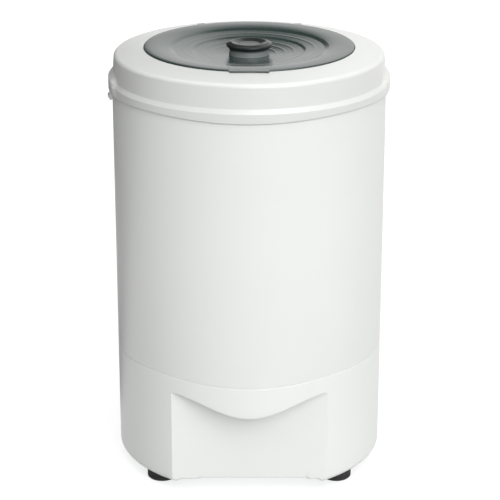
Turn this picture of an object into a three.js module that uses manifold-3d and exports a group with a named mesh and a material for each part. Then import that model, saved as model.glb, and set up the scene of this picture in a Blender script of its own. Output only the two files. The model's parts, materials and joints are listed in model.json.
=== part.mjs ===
// A top-loading laundry spin dryer: a round white cabinet on four rubber feet, with a collar,
// a hinged smoked lid, a perforated spin basket in a water tub, and a motor with a brake below.
// Millimetres, Z up. The floor is at Z = 0, the basket turns about Z, and the front faces -Y.

import * as THREE from 'three';
import { mergeVertices } from 'three/addons/utils/BufferGeometryUtils.js';
import Module from 'manifold-3d';

const wasm = await Module();
wasm.setup();

// ---------------------------------------------------------------- driving sizes

const GAP = 0.3; // between pieces that touch
const LARGE_SIDES = 36; // sides of the shells, the tub and the basket, which nest in each other
const MIDDLE_SIDES = 20; // sides of the motor and what is as large
const SMALL_SIDES = 12; // sides of the small round pieces

// Feet and base
const FOOT_HEIGHT = 13;
const FOOT_RADIUS = 20;
const FOOT_X_INSET = 61.5; // how far the feet's centres stand inside the body's sides
const FOOT_Y_INSET = 77.5; // and inside its front and back
const FOOT_NECK_RADIUS = 12;
const BODY_RADIUS = 177.5; // the cabinet's size across, which the rest follows
const BASE_WALL = 3;
const BASE_EDGE = 7; // rounding of the base's lower edge
const SEAM_HEIGHT = 160; // joint between base and body, at the front
const SEAM_WAVE = 5; // how far that joint rises between front and sides
const LOCATING_LIP = 10; // lip of the base that stands inside the body
const FLAT_INSET = 76.5; // ends of the flat front panel, inside the body's sides
const SMILE_DROP = 42.5; // lowest point of the curved edge over the flat panel, under the seam
const SMILE_RISE = 23.5;
const FLAT_RELIEF = 1.8; // the flat panel's lower edge stays this far off the floor line
const FLAT_RELIEF_INSET = 35; // ends of that relief, inside the flat panel's ends
const PLATE_LIFT = 5; // base plate's underside over the base's lower edge
const PLATE_THICKNESS = 3;
const VENT_COUNT = 6;
const VENT_LENGTH = 26;
const VENT_WIDTH = 9;
const VENT_RADIUS = 52; // middle of the air slots under the motor
const BOSS_RADIUS = 7; // screw bosses of the base, over the feet
const BOSS_HEIGHT = 36;

// Body and collar
const BODY_WALL = 2.5;
const COLLAR_WALL = 2.5;
const COLLAR_HEIGHT = 46; // from the body's upper edge to the lid's top
const COLLAR_OVERLAP = 10.5; // how far the collar reaches down over the body
const COLLAR_WAVE = 3; // how far the collar's lower edge rises between front and sides
const BEAD_PROUD = 2.5; // how far the collar's lower band stands out from the body
const BEAD_HEIGHT = 13; // from the collar's lower edge to the band's upper corner
const BEAD_CHAMFER = 1.2;
const BEAD_SHOULDER = 5.5; // height of the slope from the band to the skirt
const PAD_PROUD = 5; // how far the grip pads at the sides stand out from the body
const PAD_LENGTH = 106; // of each pad, from front to back
const PAD_RISE = 18.5; // from the collar's lower edge to the pads' upper corner
const PAD_SHOULDER = 8; // height of the slope over a pad
const SKIRT_INSET = 2.5; // how far the skirt stands inside the body's wall
const SKIRT_FLARE = 1.5;
const CORNER_DROP = 5; // collar's outer corner below its inner edge
const CORNER_RADIUS = 6;
const CORNER_TURN = 80; // degrees that the corner turns through
const LID_PROUD = 2; // lid's top over the collar beside it
const LID_SEAT = 7.5; // from the lid's top down to the ledge under its rim
const MOUTH_INSET = 65.5; // the mouth's wall inside the body's wall
const FUNNEL_LENGTH = 40; // from the ledge down into the tub
const RIB_OFFSET = 14; // from the mouth to the rib that stands inside the tub cover's mouth
const RIB_LENGTH = 31;
const EAR_ANGLES = [186, 366]; // screw ears of the collar: the left one just shows at the front
const EAR_WIDTH = 12;
const EAR_DROP = 11; // height of the ears under the collar's edge
const SCREW_HEAD_RADIUS = 3.8;
const SCREW_HEAD_HEIGHT = 1.6;
const SCREW_SHANK_RADIUS = 1.8;

// Lid, knob and hinge
const LID_HEIGHT = 566; // top of the lid's rim
const COLLAR_RING = 39.5; // width of the collar's top, from the lid to the skirt
const LID_THICKNESS = 3;
const LID_RIM = 32; // width of the lid's flat rim
const DISH_DEPTH = 10.6; // from the rim to the floor under the knob
const DISH_LIP_WIDTH = 6; // steep edge of the dish, from the rim inwards
const DISH_LIP_DROP = 3;
const DISH_STEP_OFFSET = 31.5; // from the dish's edge to the step in its sloping floor
const DISH_STEP = 0.8;
const LID_CLEARANCE = 1.5; // round the lid's edge
const TAB_WIDTH = 49;
const TAB_REACH = 4.5;
const TAB_THICKNESS = 1.6;
const CHANNEL_DEPTH = 1;
const KNOB_RADIUS = 25.7;
const KNOB_RING_RADIUS = 29.5;
const KNOB_RING_HEIGHT = 4;
const KNOB_PROUD = 4.5; // knob's top over the lid's rim
const KNOB_SEAT = 1; // flat floor round the knob
const KNOB_RECESS_RADIUS = 21;
const KNOB_RECESS_DEPTH = 9;
const HINGE_X = 66;
const HINGE_REACH = 10.5; // hinge pins behind the lid's edge
const HINGE_DROP = 12; // and below its top
const HINGE_ARM_WIDTH = 8;
const ARM_ROOT = 8; // length of each arm under the lid's rim
const HINGE_PIN_RADIUS = 1.5;
const HINGE_BOSS_RADIUS = 4.5;
const HINGE_SIDE_CLEARANCE = 0.8;
const HINGE_CHEEK = 3;
const HINGE_SWING = 3.5; // room behind the lid's arms as they turn
const SEAL_OFFSET = 6; // from the mouth to the lid's rubber ring
const SEAL_WIDTH = 5;
const KNOB_SCREW_LENGTH = 7;

// Lid interlock, all in one upright plane through the drum's axis
const INTERLOCK_ANGLE = -37;
const INTERLOCK_OFFSET = 7; // from the rib to the plunger
const PLUNGER_RADIUS = 1.9;
const PLUNGER_CLEARANCE = 0.5;
const PLUNGER_DEPTH = 11; // how deep the plunger stands in the interlock
const INTERLOCK_WIDTH = 24;
const INTERLOCK_DEPTH = 13;
const INTERLOCK_HEIGHT = 18;

// Suspension and motor
const BUFFER_HEIGHT = 36;
const BUFFER_RADIUS = 15;
const BUFFER_INSET = 73.5; // centres of the buffers inside the body's wall
const BUFFER_ANGLES = [30, 150, 270];
const BRACKET_THICKNESS = 3;
const BRACKET_ARM_WIDTH = 38;
const MOTOR_RADIUS = 64;
const COVER_WALL = 3;
const LOWER_COVER_HEIGHT = 18;
const UPPER_COVER_HEIGHT = 16;
const STATOR_HEIGHT = 50;
const CORE_WIDTH = 24.4; // of the stator's ring
const ROTOR_CLEARANCE = 0.6;
const WINDING_INSET = 3.4; // windings' inside, outside the stator's bore
const WINDING_HEIGHT = 10;
const SHAFT_RADIUS = 7.5;
const BEARING_RADIUS = 13;
const BEARING_HEIGHT = 9;
const BEARING_HOUSING = 4; // wall round each bearing
const BEARING_LIP = 2;
const TIE_BOLT_RADIUS = 2;
const TIE_BOLT_INSET = 10.5; // centres of the bolts, inside the motor's outside

// Brake
const BRAKE_LIFT = 7; // brake drum over the motor
const BRAKE_INSET = 28; // brake drum's outside, inside the motor's
const BRAKE_HEIGHT = 16;
const BRAKE_RIM = 3;
const BRAKE_TRAVEL_GAP = 3.8; // between pad and drum while the brake is off
const LEVER_CLEARANCE = 12; // lever's middle in front of the brake drum
const PIVOT_INSET = 3; // lever's pivot inside the drum's side
const LEVER_REACH = 26; // lever's tip outside the drum's other side
const LEVER_WIDTH = 6;
const LEVER_THICKNESS = 4;
const PIVOT_RADIUS = 3;
const PAD_WIDTH = 26;
const PAD_HEIGHT = 10;

// Tub and basket
const TUB_CLEARANCE = 17.5; // from the body's outside to the tub's
const TUB_WALL = 2.5;
const TUB_LIFT = 6; // tub floor over the brake drum
const TUB_DROP = 2; // tub's edge below the body's
const TUB_HOLE_RADIUS = 50;
const BELLOWS_WALL = 1.5;
const SHAFT_CLEARANCE = 2; // between the shaft and what it passes through
const COVER_SKIRT = 10;
const COVER_OFFSET = 5; // from the rib to the cover's mouth
const COVER_RISE = 12;
const BASKET_CLEARANCE = 24; // from the tub's outside to the basket's
const BASKET_WALL = 1.5;
const BASKET_LIFT = 9; // basket floor over the tub floor
const BASKET_DROP = 18; // basket's edge below the tub's
const BASKET_HOLE_MARGIN = 40; // from the basket's ends to the nearest holes
const BASKET_HOLE_RADIUS = 3;
const BASKET_HOLE_ROWS = 4;
const BASKET_HOLE_COLUMNS = 12;
const RING_HEIGHT = 12;
const RING_OFFSET = 4; // balance ring's mouth outside the collar's
const HUB_RADIUS = 34;
const HUB_HEIGHT = 34;
const NUT_RADIUS = 12;
const NUT_HEIGHT = 7;

// Drain and electrics
const DRAIN_RADIUS = 11;
const DRAIN_WALL = 2;
const DRAIN_NIPPLE = 12; // length of the outlet under the tub
const DRAIN_INSET = 22; // outlet in the tub's floor, inside its wall
const DRAIN_HEIGHT = 62; // centre of the spout at the back
const SPOUT_REACH = 4.5;
const SPOUT_FLANGE = 4;
const HOSE_BEND = 24;
const CABLE_RADIUS = 2.5;
const CABLE_BEND = 16; // size of the cable's bends
const CABLE_END_GAP = 30; // from the lever's tip to the cable's lower end
const CLIP_WIDTH = 12;
const CAPACITOR_RADIUS = 18;
const CAPACITOR_HEIGHT = 66;
const STRAP_HEIGHT = 12;
const STRAP_FOOT = 14; // how far the strap's foot reaches past its band
const STRAP_THICKNESS = 2;
const CAPACITOR_X = -62;
const CAPACITOR_INSET = 65.5; // behind the motor, inside the body's wall
const GLAND_RADIUS = 9;
const GLAND_ANGLE = 68;
const GLAND_HEIGHT = 44;
const GLAND_REACH = 4;

// ---------------------------------------------------------------- heights and places

const skirtRadius = BODY_RADIUS - SKIRT_INSET;
const beadRadius = BODY_RADIUS + BEAD_PROUD;
const padRadius = BODY_RADIUS + PAD_PROUD;
const mouthRadius = BODY_RADIUS - MOUTH_INSET;
const ribRadius = mouthRadius + RIB_OFFSET;
const lidRadius = skirtRadius - COLLAR_RING;
const dishRadius = lidRadius - LID_RIM;
const dishLipRadius = dishRadius - DISH_LIP_WIDTH;
const dishStepRadius = dishRadius - DISH_STEP_OFFSET;
const knobSeatRadius = KNOB_RADIUS + KNOB_SEAT;
const sealRadius = mouthRadius + SEAL_OFFSET;
const interlockRadius = ribRadius + INTERLOCK_OFFSET;
const tubRadius = BODY_RADIUS - TUB_CLEARANCE;
const coverMouthRadius = ribRadius + COVER_OFFSET;
const basketRadius = tubRadius - BASKET_CLEARANCE;
const ringMouthRadius = mouthRadius + RING_OFFSET;
const bufferCircle = BODY_RADIUS - BUFFER_INSET;
const flatHalfWidth = BODY_RADIUS - FLAT_INSET;
const flatReliefHalfWidth = flatHalfWidth - FLAT_RELIEF_INSET;
const footX = BODY_RADIUS - FOOT_X_INSET;
const footY = BODY_RADIUS - FOOT_Y_INSET;
const hingeY = lidRadius + HINGE_REACH;
const drainY = tubRadius - DRAIN_INSET;
const capacitorY = BODY_RADIUS - CAPACITOR_INSET;
const tieBoltCircle = MOTOR_RADIUS - TIE_BOLT_INSET;
const statorBore = MOTOR_RADIUS - CORE_WIDTH;
const windingInner = statorBore + WINDING_INSET;
const brakeRadius = MOTOR_RADIUS - BRAKE_INSET;
const leverY = -(brakeRadius + LEVER_CLEARANCE);
const leverPivotX = -(brakeRadius - PIVOT_INSET);
const leverTipX = brakeRadius + LEVER_REACH;
const cableEndRadius = leverTipX + CABLE_END_GAP;

const bodyTop = LID_HEIGHT - COLLAR_HEIGHT;
const collarBottom = bodyTop - COLLAR_OVERLAP;
const collarInnerHeight = LID_HEIGHT - LID_PROUD;
const ledgeHeight = LID_HEIGHT - LID_SEAT;
const hingeZ = LID_HEIGHT - HINGE_DROP;
const tubTop = bodyTop - TUB_DROP;
const basketTop = tubTop - BASKET_DROP;
const smileLowest = SEAM_HEIGHT - SMILE_DROP;

const baseBottom = FOOT_HEIGHT;
const plateBottom = baseBottom + PLATE_LIFT;
const plateTop = plateBottom + PLATE_THICKNESS;
const bracketBottom = plateTop + BUFFER_HEIGHT;
const bracketTop = bracketBottom + BRACKET_THICKNESS;
const lowerCoverBottom = bracketTop + GAP;
const statorBottom = lowerCoverBottom + LOWER_COVER_HEIGHT + GAP;
const upperCoverBottom = statorBottom + STATOR_HEIGHT + GAP;
const motorTop = upperCoverBottom + UPPER_COVER_HEIGHT;
const brakeBottom = motorTop + BRAKE_LIFT;
const brakeTop = brakeBottom + BRAKE_HEIGHT;
const brakeMiddle = brakeBottom + BRAKE_HEIGHT / 2;
const tubBottom = brakeTop + TUB_LIFT;
const tubFloor = tubBottom + TUB_WALL;
const basketBottom = tubFloor + BASKET_LIFT;
const basketFloor = basketBottom + BASKET_WALL;
const hubBottom = basketFloor + GAP;
const hubTop = hubBottom + HUB_HEIGHT;
const nutBottom = hubTop + GAP;
const ringBottom = basketTop + GAP;
const flatY = -Math.sqrt(BODY_RADIUS ** 2 - flatHalfWidth ** 2);
const lidUnderside = LID_HEIGHT - LID_THICKNESS;
const dishFloor = LID_HEIGHT - DISH_DEPTH;
const dishLipHeight = LID_HEIGHT - DISH_LIP_DROP;
const knobTop = LID_HEIGHT + KNOB_PROUD;
const recessRadius = lidRadius + LID_CLEARANCE;
const collarCornerHeight = collarInnerHeight - CORNER_DROP;
const coverTop = tubTop + COVER_RISE;

// ---------------------------------------------------------------- materials

const material = (color, roughness, metalness = 0) =>
  new THREE.MeshStandardMaterial({ color, roughness, metalness });

const whitePlastic = () => material('#e9ebe8', 0.35);
const smokedPlastic = () => material('#7c8482', 0.12);
const darkPlastic = () => material('#4a5150', 0.25);
const greyPlastic = () => material('#c3c7c8', 0.5);
const blackPlastic = () => material('#26282a', 0.45);
const blackRubber = () => material('#1c1c1d', 0.8);
const greyRubber = () => material('#6d7072', 0.8);
const zincSteel = () => material('#b9bdc1', 0.4, 0.9);
const polishedSteel = () => material('#c9ccd0', 0.25, 1);
const castAluminium = () => material('#a8abae', 0.5, 0.8);
const ironLaminate = () => material('#5c6064', 0.6, 0.8);
const copperWire = () => material('#a4562f', 0.4, 0.9);
const brakeLining = () => material('#5a4a3c', 0.9);

// ---------------------------------------------------------------- geometry helpers

const radians = THREE.MathUtils.degToRad;

// Volume inside a triangle mesh, negative where its faces point inwards.
function signedVolume(positions, triangles) {
  const corner = (i) => new THREE.Vector3().fromArray(positions, 3 * i);
  let sum = 0;
  for (let i = 0; i < triangles.length; i += 3) {
    const [a, b, c] = triangles.slice(i, i + 3).map(corner);
    sum += a.dot(b.cross(c));
  }
  return sum / 6;
}

// A closed geometry as a solid that can be joined and cut.
function solid(geometry) {
  const bare = geometry.clone();
  bare.deleteAttribute('normal');
  bare.deleteAttribute('uv');
  const merged = mergeVertices(bare, 1e-3);
  const corners = Array.from(merged.index.array);
  const triangles = [];
  for (let i = 0; i < corners.length; i += 3) {
    const [a, b, c] = corners.slice(i, i + 3);
    if (a !== b && b !== c && c !== a) triangles.push(a, b, c);
  }
  const vertProperties = new Float32Array(merged.attributes.position.array);
  if (signedVolume(vertProperties, triangles) < 0) triangles.reverse();
  return new wasm.Manifold(
    new wasm.Mesh({ numProp: 3, vertProperties, triVerts: new Uint32Array(triangles) }),
  );
}

const joined = (first, ...others) => others.reduce((sum, next) => sum.add(next), first);
const without = (first, ...others) => others.reduce((rest, next) => rest.subtract(next), first);

// A solid of revolution about Z from a profile of [radius, height] points.
function turned(profile, sides = SMALL_SIDES) {
  const points = profile.map(([radius, height]) => new THREE.Vector2(radius, height));
  return new THREE.LatheGeometry([...points, points[0].clone()], sides).rotateX(Math.PI / 2);
}

const ring = (inner, outer, bottom, top, sides) =>
  turned([[inner, bottom], [outer, bottom], [outer, top], [inner, top]], sides);

const disc = (radius, bottom, top, sides) =>
  turned([[0, bottom], [radius, bottom], [radius, top], [0, top]], sides);

const box = (x0, x1, y0, y1, z0, z1) =>
  new THREE.BoxGeometry(x1 - x0, y1 - y0, z1 - z0)
    .translate((x0 + x1) / 2, (y0 + y1) / 2, (z0 + z1) / 2);

// A round bar along Y, from one Y to another.
const barAlongY = (radius, y0, y1, z, sides = SMALL_SIDES) =>
  new THREE.CylinderGeometry(radius, radius, y1 - y0, sides).translate(0, (y0 + y1) / 2, z);

const barAlongX = (radius, x0, x1, y, z, sides = SMALL_SIDES) =>
  new THREE.CylinderGeometry(radius, radius, x1 - x0, sides)
    .rotateZ(Math.PI / 2)
    .translate((x0 + x1) / 2, y, z);

// An outline of [y, z] points, as a plate across X.
function plateAcrossX(outline, x, width) {
  const shape = new THREE.Shape(outline.map(([y, z]) => new THREE.Vector2(y, z)));
  return new THREE.ExtrudeGeometry(shape, { depth: width, bevelEnabled: false })
    .rotateX(Math.PI / 2)
    .rotateZ(Math.PI / 2)
    .translate(x - width / 2, 0, 0);
}

// An arc of [radius, height] points, from one angle to another in degrees.
function arc(centreRadius, centreHeight, radius, from, to, steps) {
  return Array.from({ length: steps + 1 }, (_, i) => {
    const angle = radians(from + ((to - from) * i) / steps);
    return [centreRadius + radius * Math.cos(angle), centreHeight + radius * Math.sin(angle)];
  });
}

// Raises a geometry by a wave that is zero at the front, sides and back. It is whole on one side
// of a range of heights, and fades to nothing on the other.
function waved(geometry, rise, whole, nothing) {
  const position = geometry.attributes.position;
  for (let i = 0; i < position.count; i += 1) {
    const twice = 2 * Math.atan2(position.getX(i), -position.getY(i));
    const share = THREE.MathUtils.clamp((position.getZ(i) - nothing) / (whole - nothing), 0, 1);
    position.setZ(i, position.getZ(i) + share * rise * Math.sin(twice) ** 2);
  }
  return geometry;
}

const footPlaces = [[-footX, -footY], [footX, -footY], [-footX, footY], [footX, footY]];

const polar = (radius, degrees) =>
  [radius * Math.cos(radians(degrees)), radius * Math.sin(radians(degrees))];

// ---------------------------------------------------------------- the assembly

const spinDryer = new THREE.Group();

function place(name, shape, look, parent = spinDryer) {
  const geometry = new THREE.BufferGeometry();
  const body = shape instanceof wasm.Manifold ? shape : solid(shape);
  const cut = body.getMesh();
  geometry.setAttribute('position', new THREE.BufferAttribute(cut.vertProperties, 3));
  geometry.setIndex(new THREE.BufferAttribute(cut.triVerts, 1));
  geometry.computeVertexNormals();
  const mesh = new THREE.Mesh(geometry, look);
  mesh.name = name;
  parent.add(mesh);
  return mesh;
}

// ---------------------------------------------------------------- base

// Height of the curved edge over the flat panel, at a place across the front.
function smileHeight(x) {
  const share = Math.min(Math.abs(x) / flatHalfWidth, 1);
  return smileLowest + (SMILE_RISE * (1 - Math.cos(Math.PI * share))) / 2;
}

// What is cut away under the curved edge, in front of the flat panel, grown by a margin.
function frontCut(margin) {
  const halfWidth = flatHalfWidth + 4 * BASE_WALL;
  const steps = 24;
  const shape = new THREE.Shape();
  shape.moveTo(-halfWidth, 0);
  for (let i = 0; i <= steps; i += 1) {
    const x = -halfWidth + (2 * halfWidth * i) / steps;
    shape.lineTo(x, smileHeight(x) + margin);
  }
  shape.lineTo(halfWidth, 0);
  const depth = BODY_RADIUS + flatY + margin + BASE_WALL;
  return solid(
    new THREE.ExtrudeGeometry(shape, { depth, bevelEnabled: false })
      .rotateX(Math.PI / 2)
      .translate(0, flatY + margin, 0),
  );
}

function baseShell() {
  const top = SEAM_HEIGHT - GAP / 2;
  const inside = BODY_RADIUS - BASE_WALL;
  const outside = waved(
    turned([
      [0, baseBottom],
      ...arc(BODY_RADIUS - BASE_EDGE, baseBottom + BASE_EDGE, BASE_EDGE, -90, 0, 3),
      [BODY_RADIUS, top],
      [0, top],
    ], LARGE_SIDES),
    SEAM_WAVE, top, top - 1,
  );
  const hollow = disc(inside, 0, SEAM_HEIGHT + 2 * SEAM_WAVE, LARGE_SIDES);
  const shell = without(
    without(solid(outside), frontCut(0)),
    without(solid(hollow), frontCut(BASE_WALL)),
  );
  const lipOutside = BODY_RADIUS - BODY_WALL - GAP;
  const lip = waved(
    ring(lipOutside - BODY_WALL, lipOutside, top - LOCATING_LIP, top + LOCATING_LIP, LARGE_SIDES),
    SEAM_WAVE, top, top - 1,
  );
  const bosses = footPlaces.map(screwBoss);
  const relief = box(
    -flatReliefHalfWidth, flatReliefHalfWidth,
    flatY - GAP, flatY + 2 * BASE_WALL, 0, baseBottom + FLAT_RELIEF,
  );
  const spoutHole = barAlongY(DRAIN_RADIUS + GAP, inside - BASE_WALL, beadRadius, DRAIN_HEIGHT);
  const glandHole = barAlongY(GLAND_RADIUS + GAP, inside - BASE_WALL, beadRadius, GLAND_HEIGHT)
    .rotateZ(radians(GLAND_ANGLE - 90));
  return without(
    joined(shell, solid(lip), ...bosses),
    solid(relief), solid(spoutHole), solid(glandHole),
  );
}

// A screw boss over a foot, tied to the wall by a web.
function screwBoss([x, y]) {
  const bottom = plateTop + GAP;
  const top = bottom + BOSS_HEIGHT;
  const reach = BODY_RADIUS - BASE_WALL / 2 - Math.hypot(x, y);
  const post = solid(disc(BOSS_RADIUS, bottom, top));
  const web = solid(box(0, reach, -BASE_WALL / 2, BASE_WALL / 2, bottom, top));
  const hole = solid(disc(SCREW_SHANK_RADIUS + GAP, bottom - 1, top - BASE_WALL));
  return without(joined(post, web), hole)
    .rotate([0, 0, THREE.MathUtils.radToDeg(Math.atan2(y, x))])
    .translate([x, y, 0]);
}

place('base_shell', baseShell(), whitePlastic());

// The plate that closes the base and carries the suspension.
function basePlate() {
  const outer = solid(disc(BODY_RADIUS - BASE_WALL - GAP, plateBottom, plateTop, LARGE_SIDES));
  const trimmed = without(
    outer,
    solid(box(-BODY_RADIUS, BODY_RADIUS, -BODY_RADIUS, flatY + BASE_WALL + GAP, 0, bracketTop)),
  );
  const vents = Array.from({ length: VENT_COUNT }, (_, i) =>
    solid(
      box(
        VENT_RADIUS - VENT_LENGTH / 2, VENT_RADIUS + VENT_LENGTH / 2,
        -VENT_WIDTH / 2, VENT_WIDTH / 2, 0, bracketTop,
      ).rotateZ(radians((360 * (i + 0.5)) / VENT_COUNT)),
    ),
  );
  const holes = footPlaces.map(([x, y]) =>
    solid(disc(SCREW_SHANK_RADIUS + GAP, 0, bracketTop).translate(x, y, 0)));
  return without(trimmed, ...vents, ...holes);
}

place('base_plate', basePlate(), zincSteel());

// A screw with a round head, pointing up from its head's underside.
const screwBlank = (length) =>
  turned([
    [0, -SCREW_HEAD_HEIGHT],
    [SCREW_HEAD_RADIUS, -SCREW_HEAD_HEIGHT],
    [SCREW_HEAD_RADIUS, 0],
    [SCREW_SHANK_RADIUS, 0],
    [SCREW_SHANK_RADIUS, length],
    [0, length],
  ], 8);

// The same screw with a cross recess, where its head shows.
function crossScrew(length) {
  const reach = SCREW_HEAD_RADIUS * 0.55;
  const half = SCREW_HEAD_HEIGHT / 4;
  const slot = (x, y) => solid(box(-x, x, -y, y, -2 * SCREW_HEAD_HEIGHT, -2 * half));
  return without(solid(screwBlank(length)), slot(reach, half), slot(half, reach));
}

const footHole = 5; // depth of the screw's counterbore under each foot
const footScrew = solid(screwBlank(plateTop + BOSS_HEIGHT / 2 - footHole));

footPlaces.forEach(([x, y], i) => {
  const top = plateBottom - GAP;
  const foot = solid(turned([
    [SCREW_SHANK_RADIUS + GAP, footHole],
    [SCREW_HEAD_RADIUS + GAP, footHole],
    [SCREW_HEAD_RADIUS + GAP, 0],
    [FOOT_RADIUS - 2, 0],
    [FOOT_RADIUS, 2],
    [FOOT_RADIUS, baseBottom - GAP],
    [FOOT_NECK_RADIUS, baseBottom - GAP],
    [FOOT_NECK_RADIUS, top],
    [SCREW_SHANK_RADIUS + GAP, top],
  ]));
  place(`foot_${i + 1}`, foot.translate([x, y, 0]), blackRubber());
  place(`foot_screw_${i + 1}`, footScrew.translate([x, y, footHole - GAP]), zincSteel());
});

// ---------------------------------------------------------------- body and collar

const earHeight = collarBottom - EAR_DROP / 2;
const earOutside = padRadius - 1;

const screwHole = (angle) =>
  solid(barAlongY(SCREW_SHANK_RADIUS + GAP, BODY_RADIUS - 8, padRadius + 1, earHeight, 12))
    .rotate([0, 0, angle - 90]);

function bodyShell() {
  const inside = BODY_RADIUS - BODY_WALL;
  const wall = waved(
    ring(inside, BODY_RADIUS, SEAM_HEIGHT + GAP / 2, bodyTop, LARGE_SIDES),
    SEAM_WAVE, SEAM_HEIGHT + 1, bodyTop,
  );
  return without(solid(wall), ...EAR_ANGLES.map(screwHole));
}

place('body_shell', bodyShell(), whitePlastic());

// The collar's surface beside the lid slopes down to its rounded outer corner.
function collarProfile() {
  const wall = COLLAR_WALL;
  const beadTop = collarBottom + BEAD_HEIGHT;
  const cornerCentre = [skirtRadius - CORNER_RADIUS, collarCornerHeight - CORNER_RADIUS];
  const innerCorner = CORNER_RADIUS - wall;
  const ledgeUnderside = ledgeHeight - wall;
  const rib = ribRadius + wall;
  return [
    [beadRadius - BEAD_CHAMFER, collarBottom],
    [beadRadius, collarBottom + BEAD_CHAMFER],
    [beadRadius, beadTop],
    [skirtRadius + SKIRT_FLARE, beadTop + BEAD_SHOULDER],
    ...arc(...cornerCentre, CORNER_RADIUS, 0, CORNER_TURN, 3),
    [recessRadius, collarInnerHeight],
    [recessRadius, ledgeHeight],
    [mouthRadius, ledgeHeight],
    [mouthRadius, ledgeHeight - FUNNEL_LENGTH],
    [mouthRadius + wall, ledgeHeight - FUNNEL_LENGTH],
    [mouthRadius + wall, ledgeUnderside],
    [ribRadius, ledgeUnderside],
    [ribRadius, ledgeHeight - RIB_LENGTH],
    [rib, ledgeHeight - RIB_LENGTH],
    [rib, ledgeUnderside],
    [recessRadius + wall, ledgeUnderside],
    [recessRadius + wall, collarInnerHeight - wall],
    ...arc(...cornerCentre, innerCorner, CORNER_TURN, 0, 2),
    [skirtRadius - wall, bodyTop + GAP],
    [BODY_RADIUS + GAP, bodyTop + GAP],
    [BODY_RADIUS + GAP, collarBottom],
  ];
}

// A hinge slot: room for the lid's arm between the two cheeks of its bracket.
function hingeSlot(side) {
  const halfWidth = HINGE_ARM_WIDTH / 2 + HINGE_SIDE_CLEARANCE;
  const front = Math.sqrt(lidRadius ** 2 - (HINGE_X + halfWidth) ** 2);
  const x = side * HINGE_X;
  return solid(
    box(
      x - halfWidth, x + halfWidth, front, hingeY + HINGE_BOSS_RADIUS + HINGE_SWING,
      hingeZ - HINGE_BOSS_RADIUS - 1, LID_HEIGHT,
    ),
  );
}

// Two pads at the sides, which fingers grip to carry the machine: a turned band without its
// front and back.
function gripPads() {
  const root = BODY_RADIUS + GAP + 1;
  const top = collarBottom + PAD_RISE;
  const band = solid(turned([
    [root, collarBottom + BEAD_CHAMFER],
    [padRadius - BEAD_CHAMFER, collarBottom + BEAD_CHAMFER],
    [padRadius, collarBottom + 2 * BEAD_CHAMFER],
    [padRadius, top],
    [skirtRadius + SKIRT_FLARE - 1, top + PAD_SHOULDER],
    [skirtRadius - 1, top + PAD_SHOULDER],
    [skirtRadius - 1, bodyTop + 2 * GAP],
    [root, bodyTop + 2 * GAP],
  ], LARGE_SIDES));
  const reach = 2 * padRadius;
  const ahead = box(-reach, reach, -reach, -PAD_LENGTH / 2, 0, LID_HEIGHT);
  const behind = box(-reach, reach, PAD_LENGTH / 2, reach, 0, LID_HEIGHT);
  return without(band, solid(ahead), solid(behind));
}

// A rounded ear that reaches below a grip pad, with a hole for its screw.
function collarEar(angle) {
  const round = barAlongY(EAR_WIDTH / 2, BODY_RADIUS + GAP, earOutside, earHeight);
  const neck = box(
    -EAR_WIDTH / 2, EAR_WIDTH / 2, BODY_RADIUS + GAP, earOutside,
    earHeight, collarBottom + 2 * BEAD_CHAMFER,
  );
  return joined(solid(round), solid(neck)).rotate([0, 0, angle - 90]);
}

function collar() {
  const shell = solid(
    waved(
      turned(collarProfile(), LARGE_SIDES),
      COLLAR_WAVE, bodyTop - COLLAR_WAVE, bodyTop,
    ),
  );
  const [x, y] = polar(interlockRadius, INTERLOCK_ANGLE);
  const plungerHole = disc(
    PLUNGER_RADIUS + PLUNGER_CLEARANCE, ledgeHeight - 2 * COLLAR_WALL, ledgeHeight + 1, 16,
  ).translate(x, y, 0);
  return without(
    joined(shell, gripPads(), ...EAR_ANGLES.map(collarEar)),
    ...EAR_ANGLES.map(screwHole),
    hingeSlot(-1), hingeSlot(1), solid(plungerHole),
  );
}

place('collar', collar(), whitePlastic());

const collarScrew = crossScrew(earOutside - BODY_RADIUS + 3 * BODY_WALL)
  .rotate([90, 0, 0])
  .translate([0, earOutside + GAP, earHeight]);
EAR_ANGLES.forEach((angle, i) =>
  place(`collar_screw_${i + 1}`, collarScrew.rotate([0, 0, angle - 90]), zincSteel()));

// ---------------------------------------------------------------- hinge

function hingeBracket(side) {
  const inner = HINGE_ARM_WIDTH / 2 + HINGE_SIDE_CLEARANCE;
  const x = side * HINGE_X;
  const [y0, y1] = [hingeY - 5.5, hingeY + 4.5];
  const [z0, z1] = [hingeZ - HINGE_BOSS_RADIUS - 4, hingeZ + 2.4];
  const block = box(x - inner - HINGE_CHEEK, x + inner + HINGE_CHEEK, y0, y1, z0, z1);
  const room = box(x - inner, x + inner, y0 - 1, y1 + 1, z0 + HINGE_CHEEK, z1 + 1);
  const reach = inner + HINGE_CHEEK + 1;
  const bore = barAlongX(HINGE_PIN_RADIUS + GAP, x - reach, x + reach, hingeY, hingeZ);
  return without(solid(block), solid(room), solid(bore));
}

for (const [label, side] of [['left', -1], ['right', 1]]) {
  place(`hinge_bracket_${label}`, hingeBracket(side), greyPlastic());
  const reach = HINGE_ARM_WIDTH / 2 + HINGE_SIDE_CLEARANCE + HINGE_CHEEK + 1;
  place(
    `hinge_pin_${label}`,
    barAlongX(HINGE_PIN_RADIUS, side * HINGE_X - reach, side * HINGE_X + reach, hingeY, hingeZ),
    polishedSteel(),
  );
}

// ---------------------------------------------------------------- lid

const lidGroup = new THREE.Group();
spinDryer.add(lidGroup);

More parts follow.
